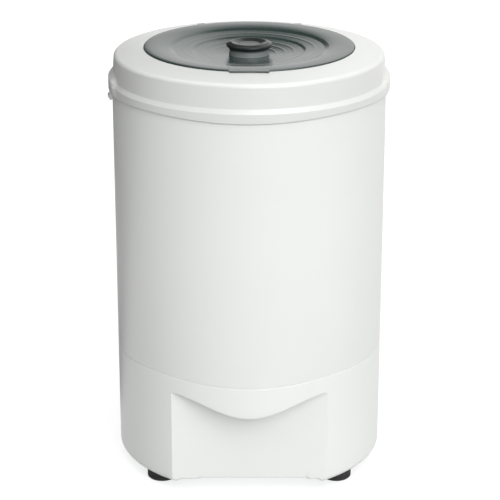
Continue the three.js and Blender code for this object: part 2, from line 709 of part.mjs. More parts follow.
// The lid's arm: from under the rim down to the hinge pin. Its top slopes, so that nothing of it
// meets the collar behind the slot while the lid is open.
function lidArm(side) {
  const edge = Math.sqrt(lidRadius ** 2 - HINGE_X ** 2);
  const x = side * HINGE_X;
  const top = LID_HEIGHT - 1;
  const under = ledgeHeight + 1.8;
  const half = HINGE_BOSS_RADIUS / 2;
  const outline = [
    [edge - ARM_ROOT, under],
    [edge, under],
    [hingeY - 5 * half, hingeZ + half / 2],
    [hingeY - half, hingeZ - half],
    [hingeY + half, hingeZ - half],
    [hingeY, hingeZ + HINGE_BOSS_RADIUS],
    [edge + 2, top],
    [edge - ARM_ROOT, top],
  ];
  const boss = barAlongX(
    HINGE_BOSS_RADIUS, x - HINGE_ARM_WIDTH / 2, x + HINGE_ARM_WIDTH / 2, hingeY, hingeZ,
  );
  return joined(solid(plateAcrossX(outline, x, HINGE_ARM_WIDTH)), solid(boss));
}

// Height of the dish's sloping floor at a radius, outside its step.
function dishHeight(radius) {
  const share = (radius - knobSeatRadius) / (dishLipRadius - knobSeatRadius);
  return THREE.MathUtils.lerp(dishFloor + DISH_STEP, dishLipHeight, share);
}

function lid() {
  const t = LID_THICKNESS;
  const afterStep = dishStepRadius - DISH_STEP;
  const dish = solid(turned([
    [0, dishFloor - t],
    [knobSeatRadius, dishFloor - t],
    [dishLipRadius, dishLipHeight - t],
    [dishRadius, lidUnderside],
    [lidRadius, lidUnderside],
    ...arc(lidRadius - 1.2, LID_HEIGHT - 1.2, 1.2, 0, 90, 2),
    [dishRadius, LID_HEIGHT],
    [dishLipRadius, dishLipHeight],
    [dishStepRadius, dishHeight(dishStepRadius)],
    [afterStep, dishHeight(afterStep) - DISH_STEP],
    [knobSeatRadius, dishFloor],
    [0, dishFloor],
  ], LARGE_SIDES));
  const tab = solid(box(
    -TAB_WIDTH / 2, TAB_WIDTH / 2, -lidRadius - TAB_REACH, -lidRadius + 8,
    LID_HEIGHT - TAB_THICKNESS, LID_HEIGHT,
  ));
  const channel = solid(box(
    -TAB_WIDTH / 2, TAB_WIDTH / 2, -lidRadius + TAB_REACH, -dishRadius + DISH_LIP_WIDTH / 2,
    LID_HEIGHT - CHANNEL_DEPTH, LID_HEIGHT + 1,
  ));
  const reach = HINGE_X + HINGE_ARM_WIDTH;
  const bore = solid(barAlongX(HINGE_PIN_RADIUS + GAP, -reach, reach, hingeY, hingeZ));
  const screwBore = solid(disc(SCREW_SHANK_RADIUS + GAP, dishFloor - 2 * t, LID_HEIGHT));
  return without(joined(dish, tab, lidArm(-1), lidArm(1)), channel, bore, screwBore);
}

place('lid', lid(), smokedPlastic(), lidGroup);

const knobBottom = dishFloor + GAP;

place('lid_knob', turned([
  [SCREW_SHANK_RADIUS + GAP, knobBottom],
  [KNOB_RADIUS, knobBottom],
  [KNOB_RADIUS - 0.5, knobTop - KNOB_RING_HEIGHT - 2],
  [KNOB_RING_RADIUS - 1, knobTop - KNOB_RING_HEIGHT],
  [KNOB_RING_RADIUS, knobTop - KNOB_RING_HEIGHT / 2],
  [KNOB_RING_RADIUS - 1, knobTop],
  [KNOB_RECESS_RADIUS + 2, knobTop],
  [KNOB_RECESS_RADIUS, knobTop - 2],
  [KNOB_RECESS_RADIUS - 1.5, knobTop - KNOB_RECESS_DEPTH],
  [0, knobTop - KNOB_RECESS_DEPTH],
  [0, knobTop - KNOB_RECESS_DEPTH - 1],
  [SCREW_SHANK_RADIUS + GAP, knobTop - KNOB_RECESS_DEPTH - 1],
], MIDDLE_SIDES), darkPlastic(), lidGroup);

place(
  'knob_screw',
  screwBlank(KNOB_SCREW_LENGTH)
    .translate(0, 0, dishFloor - LID_THICKNESS - GAP),
  zincSteel(),
  lidGroup,
);

place(
  'lid_seal',
  ring(sealRadius, sealRadius + SEAL_WIDTH, ledgeHeight + GAP, lidUnderside - GAP, LARGE_SIDES),
  greyRubber(),
);

// ---------------------------------------------------------------- lid interlock

const interlockTop = ledgeHeight - COLLAR_WALL - GAP;
const interlockBottom = interlockTop - INTERLOCK_HEIGHT;

function interlock() {
  const inner = ribRadius + COLLAR_WALL + GAP;
  const housing = box(
    inner, inner + INTERLOCK_DEPTH, -INTERLOCK_WIDTH / 2, INTERLOCK_WIDTH / 2,
    interlockBottom, interlockTop,
  );
  const guide = disc(
    PLUNGER_RADIUS + PLUNGER_CLEARANCE, interlockTop - PLUNGER_DEPTH - 1, interlockTop + 1, 16,
  ).translate(interlockRadius, 0, 0);
  return without(solid(housing), solid(guide)).rotate([0, 0, INTERLOCK_ANGLE]);
}

place('lid_interlock', interlock(), blackPlastic());

const [plungerX, plungerY] = polar(interlockRadius, INTERLOCK_ANGLE);
place(
  'lid_plunger',
  turned([
    [0, interlockTop - PLUNGER_DEPTH],
    [PLUNGER_RADIUS, interlockTop - PLUNGER_DEPTH],
    [PLUNGER_RADIUS, lidUnderside - GAP - 1],
    [PLUNGER_RADIUS - 0.8, lidUnderside - GAP],
    [0, lidUnderside - GAP],
  ]).translate(plungerX, plungerY, 0),
  whitePlastic(),
);

// ---------------------------------------------------------------- tub

function tub() {
  const inside = tubRadius - TUB_WALL;
  const shell = solid(turned([
    [TUB_HOLE_RADIUS, tubBottom],
    ...arc(tubRadius - 6, tubBottom + 6, 6, -90, 0, 1),
    [tubRadius, tubTop],
    [inside, tubTop],
    ...arc(inside - 4, tubFloor + 4, 4, 0, -90, 1),
    [TUB_HOLE_RADIUS, tubFloor],
  ], LARGE_SIDES));
  const end = tubBottom - DRAIN_NIPPLE;
  const nipple = solid(disc(DRAIN_RADIUS - DRAIN_WALL - 2 * GAP, end, tubFloor));
  const drainBore = solid(disc(DRAIN_RADIUS - 2 * DRAIN_WALL, end - 1, tubFloor + 1));
  return without(
    joined(shell, nipple.translate([0, drainY, 0])),
    drainBore.translate([0, drainY, 0]),
  );
}

place('tub', tub(), greyPlastic());

place('tub_cover', turned([
  [tubRadius + GAP, tubTop - COVER_SKIRT],
  [tubRadius + GAP + TUB_WALL, tubTop - COVER_SKIRT],
  [tubRadius + GAP + TUB_WALL, tubTop + GAP + TUB_WALL],
  [coverMouthRadius, coverTop + TUB_WALL],
  [coverMouthRadius, coverTop],
  [tubRadius - TUB_WALL, tubTop + GAP],
  [tubRadius + GAP, tubTop + GAP],
], LARGE_SIDES), greyPlastic());

place(
  'tub_seal',
  ring(
    ribRadius + COLLAR_WALL + GAP, coverMouthRadius - GAP,
    coverTop - 1.5, interlockBottom - GAP, LARGE_SIDES,
  ),
  greyRubber(),
);

// A rubber bellows closes the tub's floor round the shaft.
const bellowsOutside = TUB_HOLE_RADIUS - GAP;
const bellowsInside = SHAFT_RADIUS + SHAFT_CLEARANCE;
const fold = (bellowsOutside - bellowsInside) / 5;

place('shaft_bellows', turned([
  [bellowsOutside, tubBottom],
  [bellowsOutside, tubFloor + BELLOWS_WALL],
  [bellowsOutside - fold, tubFloor + 2 * BELLOWS_WALL],
  [bellowsOutside - 2 * fold, tubBottom + BELLOWS_WALL],
  [bellowsOutside - 3 * fold, tubFloor + 3 * BELLOWS_WALL],
  [bellowsInside, tubFloor + 3 * BELLOWS_WALL],
  [bellowsInside, tubBottom],
  [bellowsInside + BELLOWS_WALL, tubBottom],
  [bellowsInside + BELLOWS_WALL, tubFloor + BELLOWS_WALL],
  [bellowsOutside - 3 * fold, tubFloor + BELLOWS_WALL],
  [bellowsOutside - 2 * fold, tubBottom - BELLOWS_WALL],
  [bellowsOutside - fold, tubBottom],
], MIDDLE_SIDES), blackRubber());

// ---------------------------------------------------------------- drain

const spoutOuter = BODY_RADIUS + SPOUT_REACH;
const spoutInner = BODY_RADIUS - BASE_WALL - SPOUT_FLANGE - GAP;

// The hose drops from the tub's floor and turns to the back.
class DrainRoute extends THREE.CurvePath {
  constructor() {
    super();
    const top = new THREE.Vector3(0, drainY, tubBottom - GAP);
    const bendStart = new THREE.Vector3(0, drainY, DRAIN_HEIGHT + HOSE_BEND);
    const corner = new THREE.Vector3(0, drainY, DRAIN_HEIGHT);
    const bendEnd = new THREE.Vector3(0, spoutInner - GAP, DRAIN_HEIGHT);
    this.add(new THREE.LineCurve3(top, bendStart));
    this.add(new THREE.QuadraticBezierCurve3(bendStart, corner, bendEnd));
  }
}

function roundTube(outer, inner, path, steps, sides = 12) {
  const shape = new THREE.Shape().absarc(0, 0, outer, 0, 2 * Math.PI);
  if (inner > 0) shape.holes.push(new THREE.Path().absarc(0, 0, inner, 0, 2 * Math.PI));
  return new THREE.ExtrudeGeometry(shape, {
    steps, extrudePath: path, bevelEnabled: false, curveSegments: sides / 2,
  });
}

place(
  'drain_hose',
  roundTube(DRAIN_RADIUS, DRAIN_RADIUS - DRAIN_WALL, new DrainRoute(), 8),
  blackRubber(),
);

function drainSpout() {
  const pipe = barAlongY(DRAIN_RADIUS, spoutInner, spoutOuter, DRAIN_HEIGHT);
  const flange = barAlongY(
    DRAIN_RADIUS + SPOUT_FLANGE, spoutInner, spoutInner + SPOUT_FLANGE - 1, DRAIN_HEIGHT,
  );
  const bore = barAlongY(DRAIN_RADIUS - DRAIN_WALL, spoutInner - 1, spoutOuter + 1, DRAIN_HEIGHT);
  return without(joined(solid(pipe), solid(flange)), solid(bore));
}

place('drain_spout', drainSpout(), blackPlastic());

// ---------------------------------------------------------------- electrics

place(
  'capacitor',
  turned([
    [0, plateTop + GAP],
    [CAPACITOR_RADIUS, plateTop + GAP],
    [CAPACITOR_RADIUS, plateTop + CAPACITOR_HEIGHT - 2],
    [CAPACITOR_RADIUS - 2, plateTop + CAPACITOR_HEIGHT],
    [0, plateTop + CAPACITOR_HEIGHT],
  ], MIDDLE_SIDES).translate(CAPACITOR_X, capacitorY, 0),
  greyPlastic(),
);

const strapBottom = plateTop + GAP;

function capacitorStrap() {
  const top = strapBottom + STRAP_HEIGHT;
  const outside = CAPACITOR_RADIUS + STRAP_THICKNESS;
  const band = ring(CAPACITOR_RADIUS + GAP, outside, strapBottom, top, MIDDLE_SIDES);
  const foot = box(
    outside - 1, outside + STRAP_FOOT, -STRAP_HEIGHT / 2, STRAP_HEIGHT / 2,
    strapBottom, strapBottom + STRAP_THICKNESS,
  );
  return joined(solid(band), solid(foot)).translate([CAPACITOR_X, capacitorY, 0]);
}

place('capacitor_strap', capacitorStrap(), zincSteel());

function cableGland() {
  const inner = BODY_RADIUS - BASE_WALL - 6;
  const outer = BODY_RADIUS + GLAND_REACH;
  const bush = barAlongY(GLAND_RADIUS, inner, outer, GLAND_HEIGHT);
  const rim = barAlongY(GLAND_RADIUS + 3, BODY_RADIUS + GAP + 0.5, outer, GLAND_HEIGHT);
  const bore = barAlongY(GLAND_RADIUS - 5, inner - 1, outer + 1, GLAND_HEIGHT);
  return without(joined(solid(bush), solid(rim)), solid(bore)).rotate([0, 0, GLAND_ANGLE - 90]);
}

place('cable_gland', cableGland(), blackRubber());

// ---------------------------------------------------------------- brake cable

// The cable leaves the interlock outwards and runs down between tub and body.
const cableRun = (tubRadius + GAP + TUB_WALL + BODY_RADIUS - BODY_WALL) / 2;
const interlockOutside = ribRadius + COLLAR_WALL + GAP + INTERLOCK_DEPTH;

function cableRoute() {
  const exitHeight = (interlockTop + interlockBottom) / 2;
  const bend = CABLE_BEND;
  const corners = [
    [interlockOutside + GAP, exitHeight],
    [interlockOutside + bend / 2, exitHeight],
    [interlockOutside + bend, exitHeight - bend / 16],
    [cableRun - bend / 5, exitHeight - 0.75 * bend],
    [cableRun, exitHeight - 2 * bend],
    [cableRun, (exitHeight + tubBottom) / 2],
    [cableRun, tubBottom + bend],
    [cableRun - bend / 3, tubBottom - bend / 4],
    [cableRun - 1.5 * bend, brakeMiddle],
    [cableEndRadius + 1.6 * bend, brakeMiddle],
    [cableEndRadius + 0.8 * bend, brakeMiddle],
    [cableEndRadius, brakeMiddle],
  ];
  return new THREE.CatmullRomCurve3(
    corners.map(([r, z]) => new THREE.Vector3(...polar(r, INTERLOCK_ANGLE), z)),
    false, 'centripetal',
  );
}

place('brake_cable', roundTube(CABLE_RADIUS, 0, cableRoute(), 32, 8), blackPlastic());

// A clip under the tub's floor holds the cable's lower end.
function cableClip() {
  const inner = cableEndRadius + 4;
  const bottom = brakeMiddle - CABLE_RADIUS - 3;
  const block = box(
    inner, inner + CLIP_WIDTH, -CLIP_WIDTH / 2, CLIP_WIDTH / 2, bottom, tubBottom - GAP,
  );
  const groove = box(
    inner - 1, inner + CLIP_WIDTH + 1, -CABLE_RADIUS - GAP, CABLE_RADIUS + GAP,
    brakeMiddle - CABLE_RADIUS - GAP, brakeMiddle + CABLE_RADIUS + GAP,
  );
  return without(solid(block), solid(groove)).rotate([0, 0, INTERLOCK_ANGLE]);
}

place('cable_clip', cableClip(), blackPlastic());

// ---------------------------------------------------------------- suspended motor

const motorGroup = new THREE.Group();
spinDryer.add(motorGroup);

BUFFER_ANGLES.forEach((angle, i) => {
  const [x, y] = polar(bufferCircle, angle);
  const [bottom, top] = [plateTop + GAP, bracketBottom - GAP];
  const middle = (bottom + top) / 2;
  const waist = BUFFER_RADIUS * 0.8;
  place(`suspension_buffer_${i + 1}`, turned([
    [0, bottom], [BUFFER_RADIUS, bottom], [BUFFER_RADIUS, bottom + 4], [waist, bottom + 10],
    [waist, middle], [waist, top - 10], [BUFFER_RADIUS, top - 4], [BUFFER_RADIUS, top], [0, top],
  ]).translate(x, y, 0), blackRubber());
});

function motorBracket() {
  const plate = disc(MOTOR_RADIUS + 4, bracketBottom, bracketTop, MIDDLE_SIDES);
  const arms = BUFFER_ANGLES.map((angle) => {
    const [x, y] = polar(bufferCircle, angle);
    const arm = box(
      0, bufferCircle, -BRACKET_ARM_WIDTH / 2, BRACKET_ARM_WIDTH / 2, bracketBottom, bracketTop,
    ).rotateZ(radians(angle));
    const pad = disc(BRACKET_ARM_WIDTH / 2, bracketBottom, bracketTop, MIDDLE_SIDES)
      .translate(x, y, 0);
    return joined(solid(arm), solid(pad));
  });
  const hole = disc(SHAFT_RADIUS + 6, bracketBottom - 1, bracketTop + 1);
  return without(joined(solid(plate), ...arms), solid(hole));
}

place('motor_bracket', motorBracket(), zincSteel(), motorGroup);

// An end cover of the motor: a cup with a bearing housing in its middle.
const coverProfile = (height) => {
  const seat = BEARING_RADIUS + GAP;
  const housing = seat + BEARING_HOUSING;
  const seatTop = BEARING_LIP + BEARING_HEIGHT + GAP;
  return [
    [SHAFT_RADIUS + SHAFT_CLEARANCE, 0],
    [MOTOR_RADIUS - 3, 0],
    [MOTOR_RADIUS, 3],
    [MOTOR_RADIUS, height],
    [MOTOR_RADIUS - COVER_WALL, height],
    [MOTOR_RADIUS - COVER_WALL, COVER_WALL + 2],
    [housing, COVER_WALL],
    [housing, seatTop],
    [seat, seatTop],
    [seat, BEARING_LIP],
    [SHAFT_RADIUS + SHAFT_CLEARANCE, BEARING_LIP],
  ];
};

const boltPlaces = [90, 210, 330].map((angle) => polar(tieBoltCircle, angle));

// The tie bolts pass through both covers and the core, outside the windings.
function drilled(body) {
  const holes = boltPlaces.map(([x, y]) =>
    solid(disc(TIE_BOLT_RADIUS + GAP, bracketBottom, motorTop + 1, 12).translate(x, y, 0)));
  return without(body, ...holes);
}

place(
  'motor_lower_cover',
  drilled(
    solid(turned(coverProfile(LOWER_COVER_HEIGHT), MIDDLE_SIDES))
      .translate([0, 0, lowerCoverBottom]),
  ),
  castAluminium(),
  motorGroup,
);

place(
  'motor_upper_cover',
  drilled(
    solid(turned(coverProfile(UPPER_COVER_HEIGHT), MIDDLE_SIDES))
      .rotate([180, 0, 0])
      .translate([0, 0, motorTop]),
  ),
  castAluminium(),
  motorGroup,
);

const statorTop = statorBottom + STATOR_HEIGHT;

place(
  'stator_core',
  drilled(solid(ring(statorBore, MOTOR_RADIUS, statorBottom, statorTop, MIDDLE_SIDES))),
  ironLaminate(),
  motorGroup,
);

const windingOuter = tieBoltCircle - TIE_BOLT_RADIUS - GAP;

for (const [label, bottom] of [
  ['lower', statorBottom - GAP - WINDING_HEIGHT],
  ['upper', upperCoverBottom],
]) {
  place(
    `winding_${label}`,
    turned([
      [windingInner, bottom],
      [windingOuter, bottom],
      [windingOuter, bottom + WINDING_HEIGHT],
      [windingInner, bottom + WINDING_HEIGHT],
    ], MIDDLE_SIDES),
    copperWire(),
    motorGroup,
  );
}

boltPlaces.forEach(([x, y], i) => {
  const bolt = disc(TIE_BOLT_RADIUS, lowerCoverBottom + 1, motorTop + 3, 12).translate(x, y, 0);
  place(`tie_bolt_${i + 1}`, bolt, zincSteel(), motorGroup);
});

for (const [label, bottom] of [
  ['lower', lowerCoverBottom + BEARING_LIP + GAP / 2],
  ['upper', motorTop - BEARING_LIP - BEARING_HEIGHT - GAP / 2],
]) {
  place(
    `${label}_bearing`,
    ring(SHAFT_RADIUS + GAP, BEARING_RADIUS, bottom, bottom + BEARING_HEIGHT, MIDDLE_SIDES),
    polishedSteel(),
    motorGroup,
  );
}

// ---------------------------------------------------------------- spinning parts

const drumGroup = new THREE.Group();
motorGroup.add(drumGroup);

const shaftBore = SHAFT_RADIUS + GAP;
const shaftTop = nutBottom + NUT_HEIGHT + 2;

place(
  'rotor',
  ring(
    shaftBore, statorBore - ROTOR_CLEARANCE, statorBottom + 2, upperCoverBottom - 2, MIDDLE_SIDES,
  ),
  ironLaminate(),
  drumGroup,
);

place(
  'motor_shaft',
  disc(SHAFT_RADIUS, lowerCoverBottom + GAP, shaftTop),
  polishedSteel(),
  drumGroup,
);

place('brake_drum', turned([
  [shaftBore, brakeBottom],
  [shaftBore + 6, brakeBottom],
  [shaftBore + 6, brakeMiddle - 2],
  [brakeRadius - BRAKE_RIM, brakeMiddle - 2],
  [brakeRadius - BRAKE_RIM, brakeBottom],
  [brakeRadius, brakeBottom],
  [brakeRadius, brakeTop],
  [brakeRadius - BRAKE_RIM, brakeTop],
  [brakeRadius - BRAKE_RIM, brakeMiddle + 2],
  [shaftBore + 6, brakeMiddle + 2],
  [shaftBore + 6, brakeTop],
  [shaftBore, brakeTop],
], MIDDLE_SIDES), castAluminium(), drumGroup);

// The basket's wall and the holes that the water leaves by.
function spinBasket() {
  const inside = basketRadius - BASKET_WALL;
  const shell = solid(turned([
    [shaftBore, basketBottom],
    ...arc(basketRadius - 8, basketBottom + 8, 8, -90, 0, 2),
    [basketRadius, basketTop],
    [inside, basketTop],
    ...arc(inside - 6.5, basketFloor + 6.5, 6.5, 0, -90, 2),
    [shaftBore, basketFloor],
  ], LARGE_SIDES));
  const [lowest, highest] = [basketFloor + BASKET_HOLE_MARGIN, basketTop - BASKET_HOLE_MARGIN];
  const cuts = [];
  for (let row = 0; row < BASKET_HOLE_ROWS; row += 1) {
    const height = lowest + ((highest - lowest) * row) / (BASKET_HOLE_ROWS - 1);
    for (let column = 0; column < BASKET_HOLE_COLUMNS; column += 1) {
      const turn = (360 * (column + (row % 2) / 2)) / BASKET_HOLE_COLUMNS;
      const hole = barAlongY(BASKET_HOLE_RADIUS, inside - 3, basketRadius + 1, height, 6);
      cuts.push(solid(hole.rotateZ(radians(turn))));
    }
  }
  return without(shell, ...cuts);
}

place('spin_basket', spinBasket(), polishedSteel(), drumGroup);

place('balance_ring', turned([
  [ringMouthRadius, ringBottom],
  [basketRadius + 1, ringBottom],
  [basketRadius + 1, ringBottom + RING_HEIGHT - 4],
  [basketRadius - 3, ringBottom + RING_HEIGHT],
  [ringMouthRadius + 3, ringBottom + RING_HEIGHT],
  [ringMouthRadius, ringBottom + RING_HEIGHT - 3],
], LARGE_SIDES), greyPlastic(), drumGroup);

place('basket_hub', turned([
  [shaftBore, hubBottom],
  [HUB_RADIUS, hubBottom],
  [HUB_RADIUS, hubBottom + 4],
  [HUB_RADIUS * 0.55, hubBottom + HUB_HEIGHT * 0.45],
  [NUT_RADIUS + 2, hubTop],
  [shaftBore, hubTop],
], MIDDLE_SIDES), greyPlastic(), drumGroup);

const nutBlank = solid(disc(NUT_RADIUS, nutBottom, nutBottom + NUT_HEIGHT, 6));
const nutBore = solid(disc(shaftBore, nutBottom - 1, nutBottom + NUT_HEIGHT + 1));
place('hub_nut', without(nutBlank, nutBore), zincSteel(), drumGroup);

// ---------------------------------------------------------------- brake lever

const leverBottom = brakeMiddle - LEVER_THICKNESS / 2;
const leverTop = brakeMiddle + LEVER_THICKNESS / 2;

place(
  'brake_post',
  turned([
    [0, motorTop + GAP],
    [PIVOT_RADIUS + 2, motorTop + GAP],
    [PIVOT_RADIUS + 2, leverBottom - GAP],
    [PIVOT_RADIUS, leverBottom - GAP],
    [PIVOT_RADIUS, leverTop + 2],
    [0, leverTop + 2],
  ]).translate(leverPivotX, leverY, 0),
  zincSteel(),
  motorGroup,
);

const padBack = leverY + LEVER_WIDTH / 2;

function brakeLever() {
  const half = LEVER_WIDTH / 2;
  const arm = box(
    leverPivotX, leverTipX, leverY - half, leverY + half, leverBottom, leverTop,
  );
  const eye = disc(PIVOT_RADIUS + 4, leverBottom, leverTop).translate(leverPivotX, leverY, 0);
  const bore = disc(PIVOT_RADIUS + GAP, leverBottom - 1, leverTop + 1)
    .translate(leverPivotX, leverY, 0);
  const wireHole = disc(1.2, leverBottom - 1, leverTop + 1, 12)
    .translate(leverTipX - 4, leverY, 0);
  return without(joined(solid(arm), solid(eye)), solid(bore), solid(wireHole));
}

place('brake_lever', brakeLever(), zincSteel(), motorGroup);

// The pad's face follows the drum, clear of it while the lid is shut.
function brakePad() {
  const block = box(
    -PAD_WIDTH / 2, PAD_WIDTH / 2, padBack + GAP, -brakeRadius / 2,
    brakeMiddle - PAD_HEIGHT / 2, brakeMiddle + PAD_HEIGHT / 2,
  );
  const face = disc(brakeRadius + BRAKE_TRAVEL_GAP, brakeBottom - 5, brakeTop + 5, MIDDLE_SIDES);
  return without(solid(block), solid(face));
}

place('brake_pad', brakePad(), brakeLining(), motorGroup);

export default spinDryer;
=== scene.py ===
# %% [markdown]
# # A laundry spin dryer, dressed for the camera
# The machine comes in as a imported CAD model: every part sits where it belongs and moves with its body.
# The CAD parts are coarse on purpose. This script keeps their places and sizes and gives the visible
# ones the smooth curves, rounded edges and real finishes of moulded plastic, rubber and steel.

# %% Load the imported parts
import json
from math import acos, asin, atan2, cos, degrees, exp, hypot, pi, radians, sin, sqrt, tan

import bmesh
import bpy
from mathutils import Matrix, Vector


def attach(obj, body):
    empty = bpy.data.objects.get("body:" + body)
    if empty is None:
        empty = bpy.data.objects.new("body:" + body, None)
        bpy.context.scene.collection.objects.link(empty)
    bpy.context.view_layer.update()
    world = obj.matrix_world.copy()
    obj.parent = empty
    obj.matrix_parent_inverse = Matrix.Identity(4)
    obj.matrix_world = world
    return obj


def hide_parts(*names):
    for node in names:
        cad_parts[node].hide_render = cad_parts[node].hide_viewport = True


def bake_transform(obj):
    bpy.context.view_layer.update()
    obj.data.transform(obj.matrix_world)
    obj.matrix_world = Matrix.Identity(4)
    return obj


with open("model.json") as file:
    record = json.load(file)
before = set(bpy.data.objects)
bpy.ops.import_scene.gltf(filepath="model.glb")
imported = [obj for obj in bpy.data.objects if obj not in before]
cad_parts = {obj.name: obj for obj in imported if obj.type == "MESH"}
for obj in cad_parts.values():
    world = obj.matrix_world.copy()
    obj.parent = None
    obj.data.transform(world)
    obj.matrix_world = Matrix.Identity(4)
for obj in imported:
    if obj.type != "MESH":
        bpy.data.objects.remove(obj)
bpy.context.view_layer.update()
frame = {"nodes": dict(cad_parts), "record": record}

MM = 0.001  # the sizes below are written in millimetres

# %% [markdown]
# ## The camera
# The photograph was taken from in front and a little above, with a long lens: the sides of the body
# run almost parallel. A lens of 135 mm from 2.4 metres away gives the same slight taper.


# %% Place the camera
def placed(name, data):
    """A new object in the scene."""
    thing = bpy.data.objects.new(name, data)
    bpy.context.scene.collection.objects.link(thing)
    return thing


SENSOR_WIDTH, LENS, SIDE_SHIFT = 36.0, 134.86, 0.0016
CAMERA_AWAY, CAMERA_HEIGHT, LOOKS_DOWN = 2.3625, 1.133, 19.75  # metres, metres and degrees
camera_data = bpy.data.cameras.new("photo_camera")
camera_data.sensor_width, camera_data.lens, camera_data.shift_x = SENSOR_WIDTH, LENS, SIDE_SHIFT
camera = placed("photo_camera", camera_data)
camera.location = (0.0, -CAMERA_AWAY, CAMERA_HEIGHT)
camera.rotation_euler = (radians(90 - LOOKS_DOWN), 0.0, 0.0)
scene = bpy.context.scene
scene.camera = camera
scene.view_settings.view_transform = "Standard"
print("camera at", tuple(camera.location))

# %% [markdown]
# ## Colours and nodes
# Paint charts and screens give colours as sRGB hex values, but shaders add up light, so they need
# linear numbers. One function turns one into the other. A second one adds a node, fills in its
# values and draws its links, for materials and for geometry alike. There a node stands for its
# first output, and a name like Mix is short for ShaderNodeMix. The steps that come back in tree
# after tree have a short function each.


# %% Small helpers for node trees
def colour(hex_value):
    channels = [int(hex_value[i:i + 2], 16) / 255 for i in (1, 3, 5)]
    linear = [c / 12.92 if c <= 0.04045 else ((c + 0.055) / 1.055) ** 2.4 for c in channels]
    return (*linear, 1.0)


def add(tree, kind, inputs=None, **settings):
    node = tree.nodes.new(kind if "Node" in kind else "ShaderNode" + kind)
    for name, value in settings.items():
        setattr(node, name, value)
    for name, value in (inputs or {}).items():
        if isinstance(value, bpy.types.Node):
            value = value.outputs[0]
        if isinstance(value, bpy.types.NodeSocket):
            tree.links.new(value, node.inputs[name])
        else:
            node.inputs[name].default_value = value
    return node


def maths(tree, operation, *values):
    return add(tree, "Math", dict(enumerate(values)), operation=operation).outputs[0]


def ranged(tree, value, low, high, new_low, new_high, curve="LINEAR"):
    """A value that runs from low to high now runs from new_low to new_high, and stays between them."""
    inputs = dict(enumerate((value, low, high, new_low, new_high)))
    return add(tree, "MapRange", inputs, interpolation_type=curve).outputs[0]


def separated(tree, vector):
    """The X, Y and Z of a vector."""
    return add(tree, "SeparateXYZ", {0: vector}).outputs


def bearing(tree, spot):
    """The angle about the axis at which a spot lies: 0 in front, positive to the right."""
    return maths(tree, "ARCTAN2", spot["X"], maths(tree, "MULTIPLY", spot["Y"], -1.0))


def aside(tree, spot, degrees):
    """How far a spot lies, in radians, from a line so many degrees to the left."""
    return maths(tree, "ABSOLUTE", maths(tree, "ADD", bearing(tree, spot), radians(degrees)))


def empty_tree(owner):
    owner.use_nodes = True
    owner.node_tree.nodes.clear()
    return owner.node_tree


WHITE = (1, 1, 1, 1)

# %% [markdown]
# ## Light
# A broad soft lamp stands low to the front right, another hangs overhead, and the white room fills in
# the rest. The studio isn't white all round: a dark opening on the left puts the grey edge on that
# side of the body, and the dark ceiling shows in whatever is glossy and faces up to it, like the
# edge of the dish in the lid. The strengths add up to about one, in front as on top, so a colour
# renders about as it is written. The camera itself sees plain white.

# %% The room
ROOM_LIGHT, SKY_LIGHT = 0.25, 0.30  # what the room gives to matt surfaces, and what its top adds
GAP_AT, GAP_HALF, GAP_FADED = 112, 24, 42  # the opening on the left, in degrees from the front
GAP_IN_GLOSS, GAP_ON_MATT = 0.1, 0.45  # what is left of the light there
# The ceiling: its slant to the left, where it starts and is full, and what is left of the light
CEILING_SLANT, CEILING_START, CEILING_FULL, CEILING_LEFT = -2.0, 0.33, 0.45, 0.06
world = bpy.data.worlds.new("white_room")
scene.world = world
room = empty_tree(world)
ray = add(room, "LightPath").outputs
way = separated(room, add(room, "TexCoord").outputs["Generated"])
gap = ranged(room, aside(room, way, GAP_AT), radians(GAP_HALF), radians(GAP_FADED),
             GAP_IN_GLOSS, 1.0, "SMOOTHSTEP")
aslant = maths(room, "MULTIPLY_ADD", way["X"], CEILING_SLANT, way["Z"])
ceiling = ranged(room, aslant, CEILING_START, CEILING_FULL, 1.0, CEILING_LEFT, "SMOOTHSTEP")
mirrored = maths(room, "MULTIPLY", gap, ceiling)
sky = ranged(room, way["Z"], 0.0, 1.0, ROOM_LIGHT, ROOM_LIGHT + SKY_LIGHT)
on_matt = maths(room, "MULTIPLY", sky, ranged(room, gap, 0.0, 1.0, GAP_ON_MATT, 1.0))
level = add(room, "Mix", {0: ray["Is Glossy Ray"], 2: on_matt, 3: mirrored}).outputs[0]
plain = maths(room, "MAXIMUM", ray["Is Camera Ray"], ray["Is Transmission Ray"])
level = maths(room, "MAXIMUM", level, plain)
glow = add(room, "Background", {"Color": WHITE, "Strength": level})
add(room, "OutputWorld", {"Surface": glow})


# %% The lamps
def soft_lamp(name, share, azimuth, height, angle):
    """A far lamp that gives a share of full brightness to a surface that faces it."""
    data = bpy.data.lights.new(name, "SUN")
    data.energy, data.angle = share * pi, radians(angle)
    turn, rise = radians(azimuth), radians(height)
    towards = Vector((sin(turn) * cos(rise), -cos(turn) * cos(rise), sin(rise)))
    placed(name, data).rotation_euler = towards.to_track_quat("Z", "Y").to_euler()


soft_lamp("front_lamp", share=0.66, azimuth=22, height=30, angle=55)
soft_lamp("top_lamp", share=0.36, azimuth=0, height=88, angle=70)

# %% [markdown]
# The floor looks as white as the room to the camera, but gives little light to the machine. Glossy
# surfaces also see a dark card that lies on it at the back left and widens as it goes.

